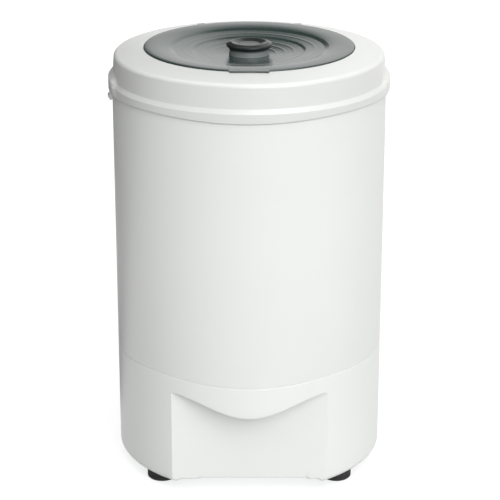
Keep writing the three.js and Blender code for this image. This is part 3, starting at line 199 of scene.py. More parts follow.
# %% The floor
FLOOR_HALF = 9.0  # metres
CARD_AT, CARD_EDGE, CARD_LEFT = 131, 17, 0.05  # degrees, degrees, and what is left of the white
CARD_NEAR, CARD_FAR = (0.9, 4), (2.0, 30)  # metres away, and half its width in degrees
FLOOR_GLOW, FLOOR_DARK, FLOOR_PALE = 0.74, 0.1, 0.36
floor_mesh = bpy.data.meshes.new("floor")
floor_corners = [(x * FLOOR_HALF, y * FLOOR_HALF, 0) for x, y in ((-1, -1), (1, -1), (1, 1), (-1, 1))]
floor_mesh.from_pydata(floor_corners, [], [(0, 1, 2, 3)])
floor = placed("floor", floor_mesh)
floor_look = bpy.data.materials.new("white_floor")
paper = empty_tree(floor_look)
ray = add(paper, "LightPath").outputs
spot = add(paper, "TexCoord").outputs["Object"]
away = add(paper, "VectorMath", {0: spot}, operation="LENGTH").outputs["Value"]
card_half = ranged(paper, away, CARD_NEAR[0], CARD_FAR[0], radians(CARD_NEAR[1]),
                   radians(CARD_FAR[1]))
card_faded = maths(paper, "ADD", card_half, radians(CARD_EDGE))
card = ranged(paper, aside(paper, separated(paper, spot), CARD_AT), card_half, card_faded,
              CARD_LEFT, 1.0, "SMOOTHSTEP")
uncarded = maths(paper, "MAXIMUM", card, ray["Is Camera Ray"])
seen = maths(paper, "MAXIMUM", ray["Is Camera Ray"], ray["Is Glossy Ray"])
shine = maths(paper, "MULTIPLY", maths(paper, "MULTIPLY", seen, uncarded), FLOOR_GLOW)
grey = ranged(paper, uncarded, 0.0, 1.0, FLOOR_DARK, FLOOR_PALE)
matt = add(paper, "BsdfDiffuse", {"Color": grey})
lift = add(paper, "Emission", {"Color": WHITE, "Strength": shine})
both = add(paper, "AddShader", {0: matt, 1: lift})
add(paper, "OutputMaterial", {"Surface": both})
floor_mesh.materials.append(floor_look)


# %% [markdown]
# ## Finishes
# Each finish starts from what the real surface is and how it was made. All of them read object
# coordinates in metres, so a scale of 1000 is a pattern of one millimetre.


# %% A surface to build on
BUMP_STRENGTH = 0.6


def surface(name, hex_value, roughness, **sockets):
    look = bpy.data.materials.new(name)
    tree = empty_tree(look)
    shader = add(tree, "BsdfPrincipled", {"Base Color": colour(hex_value), "Roughness": roughness})
    for socket, value in sockets.items():
        shader.inputs[socket.replace("_", " ")].default_value = value
    add(tree, "OutputMaterial", {"Surface": shader})
    place = add(tree, "TexCoord").outputs["Object"]
    return look, tree, shader, place


def tint(tree, shader, share, low, high):
    """The base colour runs between two hex values, by a pattern from 0 to 1."""
    mixed = add(tree, "Mix", {0: share, 6: colour(low), 7: colour(high)}, data_type="RGBA")
    tree.links.new(mixed.outputs[2], shader.inputs["Base Color"])


def spread(tree, shader, share, low, high):
    """The roughness runs between two values, by the same kind of pattern."""
    tree.links.new(ranged(tree, share, 0.0, 1.0, low, high), shader.inputs["Roughness"])


def relief(tree, shader, height, depth):
    """Bump of a depth in millimetres."""
    inputs = {"Height": height, "Distance": depth * MM, "Strength": BUMP_STRENGTH}
    tree.links.new(add(tree, "Bump", inputs).outputs[0], shader.inputs["Normal"])


# %% Patterns, and a finish that follows one
def texture(kind, output=0, stretch=None, inputs=None, **settings):
    """A pattern that waits for the tree and the coordinates to draw it with."""
    def drawn(tree, place):
        if stretch:
            place = add(tree, "Mapping", {"Vector": place, "Scale": stretch})
        return add(tree, kind, {"Vector": place, **inputs}, **settings).outputs[output]
    return drawn


def noise(scale, detail, stretch=None):
    return texture("TexNoise", stretch=stretch, inputs={"Scale": scale, "Detail": detail})


FINISHES = {}  # by the name of a slot, or of one CAD part


def finish(of, name, hex_value, roughness, pattern, low, high,
           gloss=None, depth=None, grain=None, **sockets):
    """A surface whose colour runs from low to high by a pattern, kept as the finish of a slot.

    The pattern can also spread the roughness over a range, gloss, and raise a bump of some depth,
    unless a grain of its own is given for that.
    """
    look, tree, shader, place = surface(name, hex_value, roughness, **sockets)
    share = pattern(tree, place)
    tint(tree, shader, share, low, high)
    if gloss:
        spread(tree, shader, share, *gloss)
    if depth:
        relief(tree, shader, grain(tree, place) if grain else share, depth)
    FINISHES[of] = look


# %% [markdown]
# ### White ABS
# The cabinet is injection-moulded ABS with a fine spark-eroded grain that takes the edge off its
# gloss. The real grain is under a tenth of a millimetre; here it is drawn ten times as coarse, and
# very shallow, so that it shows as a satin sheen and not as dots. The collar is the same plastic from
# a polished mould, drawn a shade greyer: painted shade, which its glossy coat lifts where it faces the room.

# %% White ABS
finish("white_plastic", "moulded_white_abs", "#eef0ee", 0.36, noise(9.0, 3.0), "#eceeec", "#f1f3f0",
       gloss=(0.31, 0.42), depth=0.02, grain=noise(1100.0, 2.0), IOR=1.53)
# The collar's greyer white is painted shade; its glossier coat brightens it where it mirrors the room.
finish("collar", "polished_white_abs_painted_shade", "#e1e3e0", 0.36, noise(9.0, 3.0), "#dfe1de", "#e4e5e2",
       gloss=(0.30, 0.38), IOR=1.53, Coat_Weight=0.6, Coat_Roughness=0.32,
       Specular_IOR_Level=0.25)

# %% [markdown]
# ### Smoked acrylic
# The lid is smoke-tinted plastic with a polished face. Straight on it is almost black; from low down
# the white room mirrors in it and it looks pale grey, which is why it seems lighter than its knob.
# A clear coat over a dark body gives both.

# %% Smoked acrylic
finish("smoked_plastic", "polished_smoked_acrylic", "#283935", 0.20, noise(14.0, 4.0), "#243430", "#2d3e3a",
       gloss=(0.16, 0.26), depth=0.01, grain=noise(420.0, 3.0), IOR=1.49,
       Coat_Weight=0.3, Coat_Roughness=0.18, Coat_IOR=1.5)

# %% Dark ABS of the knob, its stem under the dark ring painted paler: a painted reflection of the room
STEM_END, RING_START, HAZE_SHARE = 0.5615, 0.5635, 0.1  # heights in metres, and a share of the colour
look, tree, shader, place = surface("glossy_dark_abs", "#222827", 0.22, IOR=1.48, Specular_IOR_Level=0.3)
FINISHES["dark_plastic"] = look
haze = noise(60.0, 3.0)(tree, place)
# The stem's paler colour is a painted reflection of the bright room on its side.
painted_stem_reflection = ranged(tree, separated(tree, place)["Z"], STEM_END, RING_START, 1.0, 0.0)
tint(tree, shader, maths(tree, "MULTIPLY_ADD", haze, HAZE_SHARE, painted_stem_reflection), "#1c2120", "#7f8584")
spread(tree, shader, haze, 0.18, 0.28)

# %% [markdown]
# ### Plastics and rubbers inside
# The tub, its cover and the balance ring are polypropylene, waxy and a little cloudy. The small
# black parts are nylon. The feet and buffers are rubber, matt with a dusty bloom on it.

# %% Polypropylene and nylon
finish("grey_plastic", "moulded_grey_polypropylene", "#c3c7c8", 0.46, noise(22.0, 5.0), "#bcc0c2", "#cacdcd",
       gloss=(0.40, 0.54), depth=0.04, grain=noise(700.0, 2.0), IOR=1.49,
       Subsurface_Weight=0.05, Subsurface_Radius=(0.004, 0.004, 0.004))
finish("black_plastic", "moulded_black_nylon", "#26282a", 0.45, noise(150.0, 4.0), "#222426", "#2e3032",
       depth=0.05, IOR=1.53)

# %% Rubber
finish("black_rubber", "moulded_black_rubber", "#1c1c1d", 0.78, noise(130.0, 6.0), "#161617", "#29292a",
       gloss=(0.68, 0.9), depth=0.12, IOR=1.52)
finish("grey_rubber", "extruded_grey_rubber", "#6d7072", 0.7, noise(240.0, 5.0), "#66696b", "#767879",
       depth=0.08, IOR=1.52)

# %% [markdown]
# ### Metals
# Zinc plating crystallises in pale flakes, so its colour changes from cell to cell. The basket is
# rolled stainless sheet: its grinding lines run round it, so the pattern is stretched sideways and
# tight in height. The motor has cast covers with a sandy skin, a core of stacked sheets, and
# windings of enamelled copper wire. The sheets and the wire are about one millimetre thick.

# %% Zinc-plated steel, stainless sheet and cast aluminium
flakes = texture("TexVoronoi", "Distance", inputs={"Scale": 260.0, "Randomness": 1.0})
finish("zinc_steel", "zinc_plated_steel", "#b9bdc1", 0.38, flakes, "#a9adb2", "#cdd1d4",
       gloss=(0.30, 0.50), depth=0.02, Metallic=1.0)
grinding = noise(1.0, 3.0, stretch=(25.0, 25.0, 1600.0))
finish("polished_steel", "ground_stainless_sheet", "#c9ccd0", 0.28, grinding, "#bfc2c6", "#d3d6d9",
       gloss=(0.20, 0.38), depth=0.02, Metallic=1.0)
finish("cast_aluminium", "sand_cast_aluminium", "#a8abae", 0.5, noise(500.0, 4.0), "#9a9da0", "#b4b7ba",
       depth=0.15, Metallic=1.0)

# %% Stacked iron sheets and copper wire
sheets = texture("TexWave", "Fac", inputs={"Scale": 160.0, "Distortion": 0.4}, bands_direction="Z")
finish("iron_laminate", "stacked_iron_sheets", "#5c6064", 0.55, sheets, "#4b4f53", "#6b6f73",
       depth=0.2, Metallic=1.0)
strands = texture("TexWave", "Fac", inputs={"Scale": 150.0, "Distortion": 2.0},
                  wave_type="RINGS", rings_direction="Z")
finish("copper_wire", "enamelled_copper_wire", "#a4562f", 0.32, strands, "#7d3c1e", "#b8683c",
       depth=0.3, Metallic=1.0, Coat_Weight=0.6)

# %% Brake lining
finish("brake_lining", "pressed_brake_lining", "#5a4a3c", 0.9, noise(900.0, 5.0), "#463a30", "#6e5b4a",
       depth=0.2)

# %% Every CAD part gets the finish of its slot
slot_of = {row["node"]: row["material_slot"] for row in frame["record"]["subparts"]}
body_of = {node: body for body, nodes in frame["record"]["behaviour"]["bodies"].items() for node in nodes}


def dress(thing, node):
    """Gives an object the finish of a CAD part."""
    thing.data.materials.clear()
    thing.data.materials.append(FINISHES.get(node) or FINISHES[slot_of[node]])


for node, part in frame["nodes"].items():
    dress(part, node)
print(len(frame["nodes"]), "CAD parts have a finish")


# %% [markdown]
# ## Turning shapes
# Most of the machine is turned: a profile of radius and height runs round the axis. Sharp corners
# would look like cut paper, so each corner of a profile can carry a rounding radius. A shape is
# built as closed loops set side by side, which also makes the one part that isn't round, the base.


# %% Profiles and loops
CORNER_STEPS = 4
SHARP = radians(32)  # edges bent more than this stay crisp
WELD = 0.02 * MM  # points closer than this are one point


def rounded(profile):
    """[radius, height] or [radius, height, rounding] corners become a smooth closed profile."""
    points = []
    for i, (r, z, *rounding) in enumerate(profile):
        here = Vector((r, z))
        if not rounding:
            points.append(here)
            continue
        before = Vector(profile[i - 1][:2]) - here
        after = Vector(profile[(i + 1) % len(profile)][:2]) - here
        reach = rounding[0] / tan(before.angle(after) / 2)
        start = here + before.normalized() * min(reach, 0.49 * before.length)
        end = here + after.normalized() * min(reach, 0.49 * after.length)
        for k in range(CORNER_STEPS + 1):
            t = k / CORNER_STEPS
            points.append(start * (1 - t) ** 2 + here * 2 * t * (1 - t) + end * t ** 2)
    return [tuple(p) for p in points]


def arc(centre_r, centre_z, radius, start, end, steps):
    turns = [radians(start + (end - start) * i / steps) for i in range(steps + 1)]
    return [(centre_r + radius * cos(t), centre_z + radius * sin(t)) for t in turns]


def cleaned(mesh):
    work = bmesh.new()
    work.from_mesh(mesh)
    bmesh.ops.remove_doubles(work, verts=work.verts, dist=WELD)
    bmesh.ops.delete(work, geom=[e for e in work.edges if not e.link_faces], context="EDGES")
    bmesh.ops.delete(work, geom=[v for v in work.verts if not v.link_faces], context="VERTS")
    bmesh.ops.recalc_face_normals(work, faces=work.faces)
    work.to_mesh(mesh)
    work.free()
    mesh.shade_smooth()
    mesh.set_sharp_from_angle(angle=SHARP)
    return mesh


def smooth(low, high, value):
    t = min(max((value - low) / (high - low), 0.0), 1.0)
    return t * t * (3 - 2 * t)


def closed_mesh(loops, around=True):
    """Loops of points in millimetres, side by side, as one closed mesh in metres."""
    count = len(loops[0])
    points = [Vector(p) * MM for loop in loops for p in loop]
    faces = []
    for i in range(len(loops) if around else len(loops) - 1):
        j = (i + 1) % len(loops)
        for k in range(count):
            m = (k + 1) % count
            faces.append((i * count + k, j * count + k, j * count + m, i * count + m))
    if not around:
        faces += [tuple(range(count)), tuple(range((len(loops) - 1) * count, len(loops) * count))[::-1]]
    mesh = bpy.data.meshes.new("shape")
    mesh.from_pydata(points, [], faces)
    return cleaned(mesh)


def full_turn(steps):
    return [2 * pi * i / steps for i in range(steps)]


def spun(r, z, angle):
    """A point of a profile at an angle about the axis: 0 in front, positive to the right."""
    return r * sin(angle), -r * cos(angle), z


def turned(profile, sides):
    return closed_mesh([[spun(r, z, a) for r, z in profile] for a in full_turn(sides)])


# %% Pieces
def piece(node, mesh, name=None):
    """Puts a mesh in the place of a CAD part, on its body and with its finish."""
    name = name or f"{node}_skin"
    mesh.name = name
    thing = placed(name, mesh)
    dress(thing, node)
    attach(thing, body_of[node])
    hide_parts(node)


def turned_piece(node, profile, sides=96):
    """A smooth turned piece for one CAD part."""
    piece(node, turned(rounded(profile), sides))


def moved(mesh, x, y, z=0.0):
    mesh.transform(Matrix.Translation((x * MM, y * MM, z * MM)))
    return mesh


def aimed(mesh, start, direction):
    """Stands a mesh on a point, with what was its Z axis in a direction."""
    turn = Vector(direction).to_track_quat("Z", "Y").to_matrix().to_4x4()
    mesh.transform(Matrix.Translation(Vector(start) * MM) @ turn)
    return mesh


def settled(thing):
    """What an object looks like after its modifiers, as a plain mesh. The object goes."""
    graph = bpy.context.evaluated_depsgraph_get()
    mesh = bpy.data.meshes.new_from_object(thing.evaluated_get(graph), depsgraph=graph)
    bpy.data.objects.remove(thing)
    return mesh


# %% Joining and cutting
JOIN, CUT, KEEP_INSIDE = "UNION", "DIFFERENCE", "INTERSECT"
BAR_SIDES = 48


def shaped(mesh, *changes):
    """Joins shapes to a mesh or cuts them from it: each change is (JOIN, CUT or KEEP_INSIDE, mesh)."""
    work = placed("work", mesh)
    tools = []
    for how, tool_mesh in changes:
        tool = placed("tool", tool_mesh)
        tools.append(tool)
        boolean = work.modifiers.new(how, "BOOLEAN")
        boolean.operation, boolean.object, boolean.solver = how, tool, "EXACT"
    result = settled(work)
    for tool in tools:
        bpy.data.objects.remove(tool)
    return cleaned(result)


def block(x0, x1, y0, y1, z0, z1, turn=0.0):
    """A box in millimetres, turned about the axis by an angle in degrees."""
    c, s = cos(radians(turn)), sin(radians(turn))
    ring = [(x0, y0), (x1, y0), (x1, y1), (x0, y1)]
    return closed_mesh([[(x * c - y * s, x * s + y * c, z) for x, y in ring] for z in (z0, z1)],
                       around=False)


def bar(radius, start, end):
    """A round bar from one point to another."""
    a, b = Vector(start), Vector(end)
    turn = (b - a).to_track_quat("Z", "Y")
    ring = [turn @ Vector((radius * cos(t), radius * sin(t), 0)) for t in full_turn(BAR_SIDES)]
    return closed_mesh([[tuple(a + p) for p in ring], [tuple(b + p) for p in ring]], around=False)


def hole(radius, start, end):
    return CUT, bar(radius, start, end)


def upright(x, y, low, high):
    """The two ends of a line that stands on the floor plan."""
    return (x, y, low), (x, y, high)


def polar(radius, degrees, height):
    return (radius * cos(radians(degrees)), radius * sin(radians(degrees)), height)


def outward(near, far, degrees, height):
    """The two ends of a level line that runs away from the axis."""
    return polar(near, degrees, height), polar(far, degrees, height)


# %% [markdown]
# ## The wave in the seams
# The joint between base and body isn't level: it is lowest at the front, rises a few millimetres
# towards the corners and falls again at the sides. The collar's lower edge does the same. A rule
# like this is what Geometry Nodes are good at: one tree bends the edge of the body and of the
# collar, with the rise and the heights where it starts and fades out as named inputs. The base's
# edge follows the same rule where its loops are drawn.


# %% Geometry trees
def geometry_tree(name, **sockets):
    """A tree that takes geometry and the named sockets. It comes with the outputs that hold those."""
    tree = bpy.data.node_groups.new(name, "GeometryNodeTree")
    tree.interface.new_socket("Geometry", in_out="INPUT", socket_type="NodeSocketGeometry")
    tree.interface.new_socket("Geometry", in_out="OUTPUT", socket_type="NodeSocketGeometry")
    for label, kind in sockets.items():
        tree.interface.new_socket(label, in_out="INPUT", socket_type=kind)
    return tree, add(tree, "NodeGroupInput").outputs


def end_tree(tree, geometry, look):
    """Every tree ends with real geometry in its finish."""
    real = add(tree, "GeometryNodeRealizeInstances", {0: geometry})
    coated = add(tree, "GeometryNodeSetMaterial", {"Geometry": real, "Material": look})
    add(tree, "NodeGroupOutput", {"Geometry": coated})


def with_tree(thing, tree, **values):
    modifier = thing.modifiers.new(tree.name, "NODES")
    modifier.node_group = tree
    for item in tree.interface.items_tree:
        if item.in_out == "INPUT" and item.name in values:
            modifier[item.identifier] = values[item.name]
    return settled(thing)


# %% A tree that waves an edge
FLOAT, COUNT, SHAPE, LOOK = "NodeSocketFloat", "NodeSocketInt", "NodeSocketObject", "NodeSocketMaterial"
wave, given = geometry_tree("seam_wave", rise=FLOAT, whole_at=FLOAT, gone_at=FLOAT, finish=LOOK)
spot = separated(wave, add(wave, "GeometryNodeInputPosition"))
swing = maths(wave, "SINE", maths(wave, "MULTIPLY", bearing(wave, spot), 2.0))
fade = ranged(wave, spot["Z"], given["gone_at"], given["whole_at"], 0.0, 1.0)
share = maths(wave, "MULTIPLY", maths(wave, "POWER", swing, 2.0), fade)
lift_by = maths(wave, "MULTIPLY", share, given["rise"])
upward = add(wave, "CombineXYZ", {"Z": lift_by})
waving = add(wave, "GeometryNodeSetPosition", {"Geometry": given["Geometry"], "Offset": upward})
end_tree(wave, waving, given["finish"])


def waved(mesh, rise, whole_at, gone_at):
    return with_tree(placed("work", mesh), wave, rise=rise * MM, whole_at=whole_at * MM,
                     gone_at=gone_at * MM, finish=FINISHES["white_plastic"])


# %% [markdown]
# ## The base
# The base is a round shell whose front is cut back to a flat panel. Over the panel the round wall
# stays as a brow with a smiling edge, deepest in the middle and running out to nothing at the sides.
# A boolean would do, but its edge would be hard. Here the wall is drawn as upright loops, each with
# the panel, the underside of the brow, a rounded lip and the wall above it, so the lip can be soft.
# A thinner collar on top, the spigot, stands inside the body's lower edge.

# %% Sizes of the base
# In these names R is a radius, and X, Y and Z are places. PLAY is left between parts that fit.
BODY_R, BODY_WALL, PLAY = 177.5, 2.5, 0.3
BASE_WALL, BASE_LOW, EDGE, EDGE_STEPS = 3.0, 13.0, 7.0, 7
SEAM_Z, SEAM_WAVE, SEAM_GAP, SHOULDER_HEIGHT, SHOULDER_ROUNDING = 160.0, 5.0, 0.3, 2.6, 1.6
FLAT_HALF = 101.0
FLAT_Y = sqrt(BODY_R ** 2 - FLAT_HALF ** 2)
FLAT_END = asin(FLAT_HALF / BODY_R)
SMILE_Z, SMILE_RISE = 117.5, 23.5
BROW_ROUNDING, DEPTH_PER_ROUNDING = 1.6, 2.5  # a shallow brow has a smaller rounding
PANEL_LIFT, LIFT_RUN = 4.2, 0.12  # the panel's lower edge hangs higher than the round wall's
CHAMFER_HEIGHT, CHAMFER_SLOPE = 1.2, 0.7
RELIEF, RELIEF_START, RELIEF_END = 1.8, -67.0, 76.0
SPIGOT, SPIGOT_R, SPIGOT_CHAMFER = 10.0, BODY_R - BODY_WALL - PLAY, 0.6


def smile(share):
    return SMILE_Z + SMILE_RISE * (1 - cos(pi * share)) / 2


def seam_rise(angle):
    return SEAM_WAVE * sin(2 * angle) ** 2


def plan(share, angle, radius, flat=None):
    """A point at a radius, cut back to the flat panel where share, from -1 to 1, is across it."""
    if share is None:
        return spun(radius, 0, angle)[:2]
    x = share * FLAT_HALF * radius / BODY_R
    y = sqrt(radius ** 2 - x ** 2)
    return x, -(min(y, flat) if flat else y)


# %% One upright loop of the base, from its lower edge up the outside and down the inside
def lower_edge(share, across):
    """How high the base starts: at the bottom all round, and higher under the flat panel."""
    if share is None:
        return BASE_LOW
    lowest = BASE_LOW + PANEL_LIFT * smooth(0.0, LIFT_RUN, 1 - across)
    if RELIEF_START < share * FLAT_HALF < RELIEF_END:
        lowest += RELIEF
    return lowest


def base_loop(share, angle):
    across = 1.0 if share is None else abs(share)
    brow, lowest = smile(across), lower_edge(share, across)
    panel_x, panel_y = plan(share, angle, BODY_R, FLAT_Y)
    wall_x, wall_y = plan(share, angle, BODY_R)
    depth = max(panel_y - wall_y, 0.0)
    soft = min(BROW_ROUNDING, depth / DEPTH_PER_ROUNDING)
    points = []
    start = asin((lowest - BASE_LOW) / EDGE - 1)  # where the rounded edge leaves the lower edge
    for k in range(EDGE_STEPS + 1):
        turn = max(radians(-90 + 90 * k / EDGE_STEPS), start)
        r, z = BODY_R - EDGE + EDGE * cos(turn), BASE_LOW + EDGE * (1 + sin(turn))
        chamfer = 0.0 if k == EDGE_STEPS else max(0.0, CHAMFER_HEIGHT - (z - lowest)) * CHAMFER_SLOPE
        points.append((*plan(share, angle, r, FLAT_Y - chamfer), z))
    first = BASE_LOW + EDGE
    points += [(panel_x, panel_y, first + (brow - soft - first) * k / 12) for k in range(1, 13)]
    for t in (1 / 3, 2 / 3, 3 / 3):
        points.append((panel_x, panel_y - soft * t * t, brow - soft + soft * (2 * t - t * t)))
    for k in range(1, 6):
        points.append((panel_x, panel_y - soft - (depth - 2 * soft) * k / 5, brow))
    for t in (1 / 5, 2 / 5, 3 / 5, 4 / 5, 5 / 5):
        points.append((wall_x, wall_y + soft * (1 - t) ** 2, brow + soft * t * t))
    seam = SEAM_Z - SEAM_GAP / 2 + seam_rise(angle)
    shoulder = seam - SHOULDER_HEIGHT
    points += [(wall_x, wall_y, brow + soft + (shoulder - brow - soft) * k / 6) for k in range(1, 7)]
    spigot_in, inside, inner_flat = SPIGOT_R - BODY_WALL, BODY_R - BASE_WALL, FLAT_Y - BASE_WALL
    inner_brow = min(brow + BASE_WALL, seam - SPIGOT)
    inner_lip = 1.0 - min((lowest - BASE_LOW) / PANEL_LIFT, 1.0)
    rounding = rounded([(BODY_R, shoulder), (BODY_R, seam, SHOULDER_ROUNDING), (SPIGOT_R, seam)])
    for r, z, flat in (
            *((r, z, None) for r, z in rounding[1:-1]),
            (SPIGOT_R, seam, None), (SPIGOT_R, seam + SPIGOT - SPIGOT_CHAMFER, None),
            (SPIGOT_R - SPIGOT_CHAMFER, seam + SPIGOT, None), (spigot_in, seam + SPIGOT, None),
            (spigot_in, seam - SPIGOT + 0.4, None), (inside, seam - SPIGOT + 0.2, None),
            (inside, inner_brow, None), (inside, inner_brow, inner_flat),
            (inside, max(BASE_LOW + 4.0, lowest + 0.5), inner_flat),
            (inside - 4.0, lowest, inner_flat - inner_lip)):
        points.append((*plan(share, angle, r, flat), z))
    return points


# %% Join the loops
FRONT_LOOPS, BACK_LOOPS = 96, 200
shares = [-1 + 2 * i / FRONT_LOOPS for i in range(FRONT_LOOPS + 1)]
base_loops = [base_loop(share, asin(share * FLAT_HALF / BODY_R)) for share in shares]
base_loops += [base_loop(None, FLAT_END + (2 * pi - 2 * FLAT_END) * i / BACK_LOOPS)
               for i in range(1, BACK_LOOPS)]

# %% Holes for the drain and the cable, and bosses for the feet
SPOUT_Z, SPOUT_R = 62.0, 11.0
GLAND_ANGLE, GLAND_Z, GLAND_R = 68.0, 44.0, 9.0
FOOT_PLACES = [(-116.0, -100.0), (116.0, -100.0), (-116.0, 100.0), (116.0, 100.0)]
BOSS_LOW, BOSS_HEIGHT, BOSS_R, RIB_HALF = 21.3, 36.0, 7.0, 1.5
SCREW_BORE = 2.1
boss_top = BOSS_LOW + BOSS_HEIGHT
changes = []
for x, y in FOOT_PLACES:
    turn, away = degrees(atan2(y, x)), hypot(x, y)
    changes += [
        (JOIN, block(away, BODY_R - 1.5, -RIB_HALF, RIB_HALF, BOSS_LOW, boss_top, turn)),
        (JOIN, bar(BOSS_R, *upright(x, y, BOSS_LOW, boss_top))),
        hole(SCREW_BORE, *upright(x, y, BOSS_LOW - 1, boss_top - 3)),
    ]
base_mesh = shaped(
    closed_mesh(base_loops), *changes,
    hole(SPOUT_R + PLAY, (0, 165, SPOUT_Z), (0, 185, SPOUT_Z)),
    hole(GLAND_R + PLAY, *outward(165, 185, GLAND_ANGLE, GLAND_Z)),
)
piece("base_shell", base_mesh)
print("base:", len(base_mesh.polygons), "faces")

# %% [markdown]
# ## The body
# A plain round tube of the same plastic. Its lower edge follows the base's, with a hair of shadow
# between them, and its upper edge disappears into the collar.

# %% The body
BODY_TOP, WAVE_GONE, EAR_Z, EAR_ANGLES = 520.0, 330, 504.0, (186, 366)
body_inside, body_low = BODY_R - BODY_WALL, SEAM_Z + SEAM_GAP / 2
body_mesh = turned(rounded([
    (body_inside, body_low), (BODY_R, body_low, 0.3), (BODY_R, WAVE_GONE),
    (BODY_R, BODY_TOP), (body_inside, BODY_TOP), (body_inside, WAVE_GONE),
]), 256)
body_mesh = waved(body_mesh, SEAM_WAVE, SEAM_Z + 1.5, WAVE_GONE)
ear_holes = [hole(SCREW_BORE, *outward(BODY_R - 8, BODY_R + 6, a, EAR_Z)) for a in EAR_ANGLES]
piece("body_shell", shaped(body_mesh, *ear_holes), "body_skin")

# %% [markdown]
# ## The collar
# The collar caps the body: a low band over the joint, a skirt, a soft outer corner, a ring that
# slopes gently up to the lid, and inside that the ledge and the funnel that the laundry goes
# through. It is one profile run round the axis, pushed out to a grip pad on each side and waved at
# its lower edge, with screw ears, hinge slots and the hole of the lid switch worked in afterwards.

# %% Profile of the collar
COLLAR_WALL, COLLAR_LOW, COLLAR_WAVE, COLLAR_LOOPS = 2.5, 509.5, 3.0, 288
BAND_R, BAND_TOP, SHOULDER, SKIRT_R = 180.0, 522.5, 528.0, 175.0
COLLAR_TOP, LEDGE, RECESS_R = 564.9, 558.5, 136.3
MOUTH_R, MOUTH_DEPTH, SEAL_R, SEAL_DEPTH = 112.0, 40, 126, 31
CORNER_ROUNDING = 6
CORNER = (SKIRT_R - CORNER_ROUNDING, COLLAR_TOP - 5.9 - CORNER_ROUNDING)
under, fit = LEDGE - COLLAR_WALL, BODY_R + PLAY
collar_profile = rounded([
    (BAND_R - 1.2, COLLAR_LOW, 0.4), (BAND_R, COLLAR_LOW + 1.2, 0.8),
    (BAND_R, 514), (BAND_R, 518), (BAND_R, BAND_TOP, 1.2), (SKIRT_R + 1.5, SHOULDER, 2.0),
    *[(SKIRT_R + 1.4 - k / 10, 530 + 2 * k) for k in range(4)],
    *arc(*CORNER, CORNER_ROUNDING, 0, 80, 10),
    (RECESS_R, COLLAR_TOP, 1.2), (RECESS_R, LEDGE, 0.8), (MOUTH_R, LEDGE, 2.0),
    (MOUTH_R, LEDGE - MOUTH_DEPTH, 1.0), (MOUTH_R + COLLAR_WALL, LEDGE - MOUTH_DEPTH, 1.0),
    (MOUTH_R + COLLAR_WALL, under), (SEAL_R, under), (SEAL_R, LEDGE - SEAL_DEPTH),
    (SEAL_R + COLLAR_WALL, LEDGE - SEAL_DEPTH), (SEAL_R + COLLAR_WALL, under),
    (RECESS_R + COLLAR_WALL, under), (RECESS_R + COLLAR_WALL, COLLAR_TOP - COLLAR_WALL),
    *arc(*CORNER, CORNER_ROUNDING - COLLAR_WALL, 80, 0, 5),
    (SKIRT_R - COLLAR_WALL, BODY_TOP + PLAY), (fit, BODY_TOP + PLAY), (fit, COLLAR_LOW),
])

# %% Grip pads
PAD_R, PAD_TOP, PAD_SHOULDER, PAD_TUCK = 182.5, 528.0, 536.0, 1.5
PAD_HALF, PAD_WIDENS, PAD_EDGE = 13, 6, 3.5  # degrees


def with_pad(r, z, angle):
    """Pushes the outside of the collar out to a soft pad at the left and the right."""
    inner_face = r < SKIRT_R - 0.5 or r < BODY_R + 0.5 and z < BAND_TOP
    if inner_face or not COLLAR_LOW + 0.5 < z < PAD_SHOULDER:
        return r, z
    off_side = degrees(acos(min(abs(sin(angle)), 1.0)))
    reach = PAD_HALF + PAD_WIDENS * (PAD_SHOULDER - z) / (PAD_SHOULDER - COLLAR_LOW)
    full = PAD_R
    if z > PAD_TOP:
        full -= (PAD_R - r) * (z - PAD_TOP) / (PAD_SHOULDER - PAD_TOP)
    full -= PAD_TUCK * smooth(COLLAR_LOW + 4, COLLAR_LOW, z)
    return r + (full - r) * smooth(reach + PAD_EDGE, reach, off_side), z


collar_loops = [[spun(*with_pad(r, z, a), a) for r, z in collar_profile] for a in full_turn(COLLAR_LOOPS)]
collar_mesh = waved(closed_mesh(collar_loops), COLLAR_WAVE, BODY_TOP - 3, BODY_TOP)

# %% Ears, slots and holes of the collar
EAR_R, EAR_OUT = 6.0, PAD_R - 1
HINGE_X, HINGE_Y, HINGE_Z = 66.0, 146.0, 554.0
SLOT_HALF, SLOT_CIRCLE, SLOT_TOP = 4.8, 135.5, 566
SWITCH_ANGLE, SWITCH_R, SWITCH_BORE = -37.0, 133.0, 2.4
changes = []
for a in EAR_ANGLES:
    changes += [
        (JOIN, bar(EAR_R, *outward(fit, EAR_OUT, a, EAR_Z))),
        (JOIN, block(fit, EAR_OUT, -EAR_R, EAR_R, EAR_Z, COLLAR_LOW + 4, a)),
        hole(SCREW_BORE, *outward(170, 186, a, EAR_Z)),
    ]
slot_front = sqrt(SLOT_CIRCLE ** 2 - (HINGE_X + SLOT_HALF) ** 2)
for x in (-HINGE_X, HINGE_X):
    slot = block(x - SLOT_HALF, x + SLOT_HALF, slot_front, HINGE_Y + 8, HINGE_Z - 5.5, SLOT_TOP)
    changes.append((CUT, slot))
switch = polar(SWITCH_R, SWITCH_ANGLE, LEDGE)
changes.append(hole(SWITCH_BORE, *upright(*switch[:2], LEDGE - 5, LEDGE + 1)))
piece("collar", shaped(collar_mesh, *changes))

# %% [markdown]
# ## The lid
# The rim rolls over softly and drops by a short steep lip into a dish, whose floor slopes on down to
# the knob, with a step and a few faint ripples that stiffen it. A small tab at the front carries the
# rim over the collar's edge for a finger to lift, and two arms at the back reach down to the hinge
# pins.

# %% Profile of the lid
LID_TOP, LID_R, LID_WALL = 566.0, 135.7, 3.0
CROWN_R, CROWN_DROP = 128.0, 1.8
DISH_R, LIP_R, LIP_Z = 103.5, 97.5, 562.4
DISH_STEP, STEP_R, STEP_SOFTNESS = 0.8, 71.6, 0.7
DISH_FLOOR, DISH_BELOW, SEAT_R = 554.2, 552.4, 26.7
RIPPLES, RIPPLE_HEIGHT, RIPPLE_WIDTH = (85.0, 58.0, 46.0, 34.5), 0.13, 1.6
FLOOR_STEPS = 100


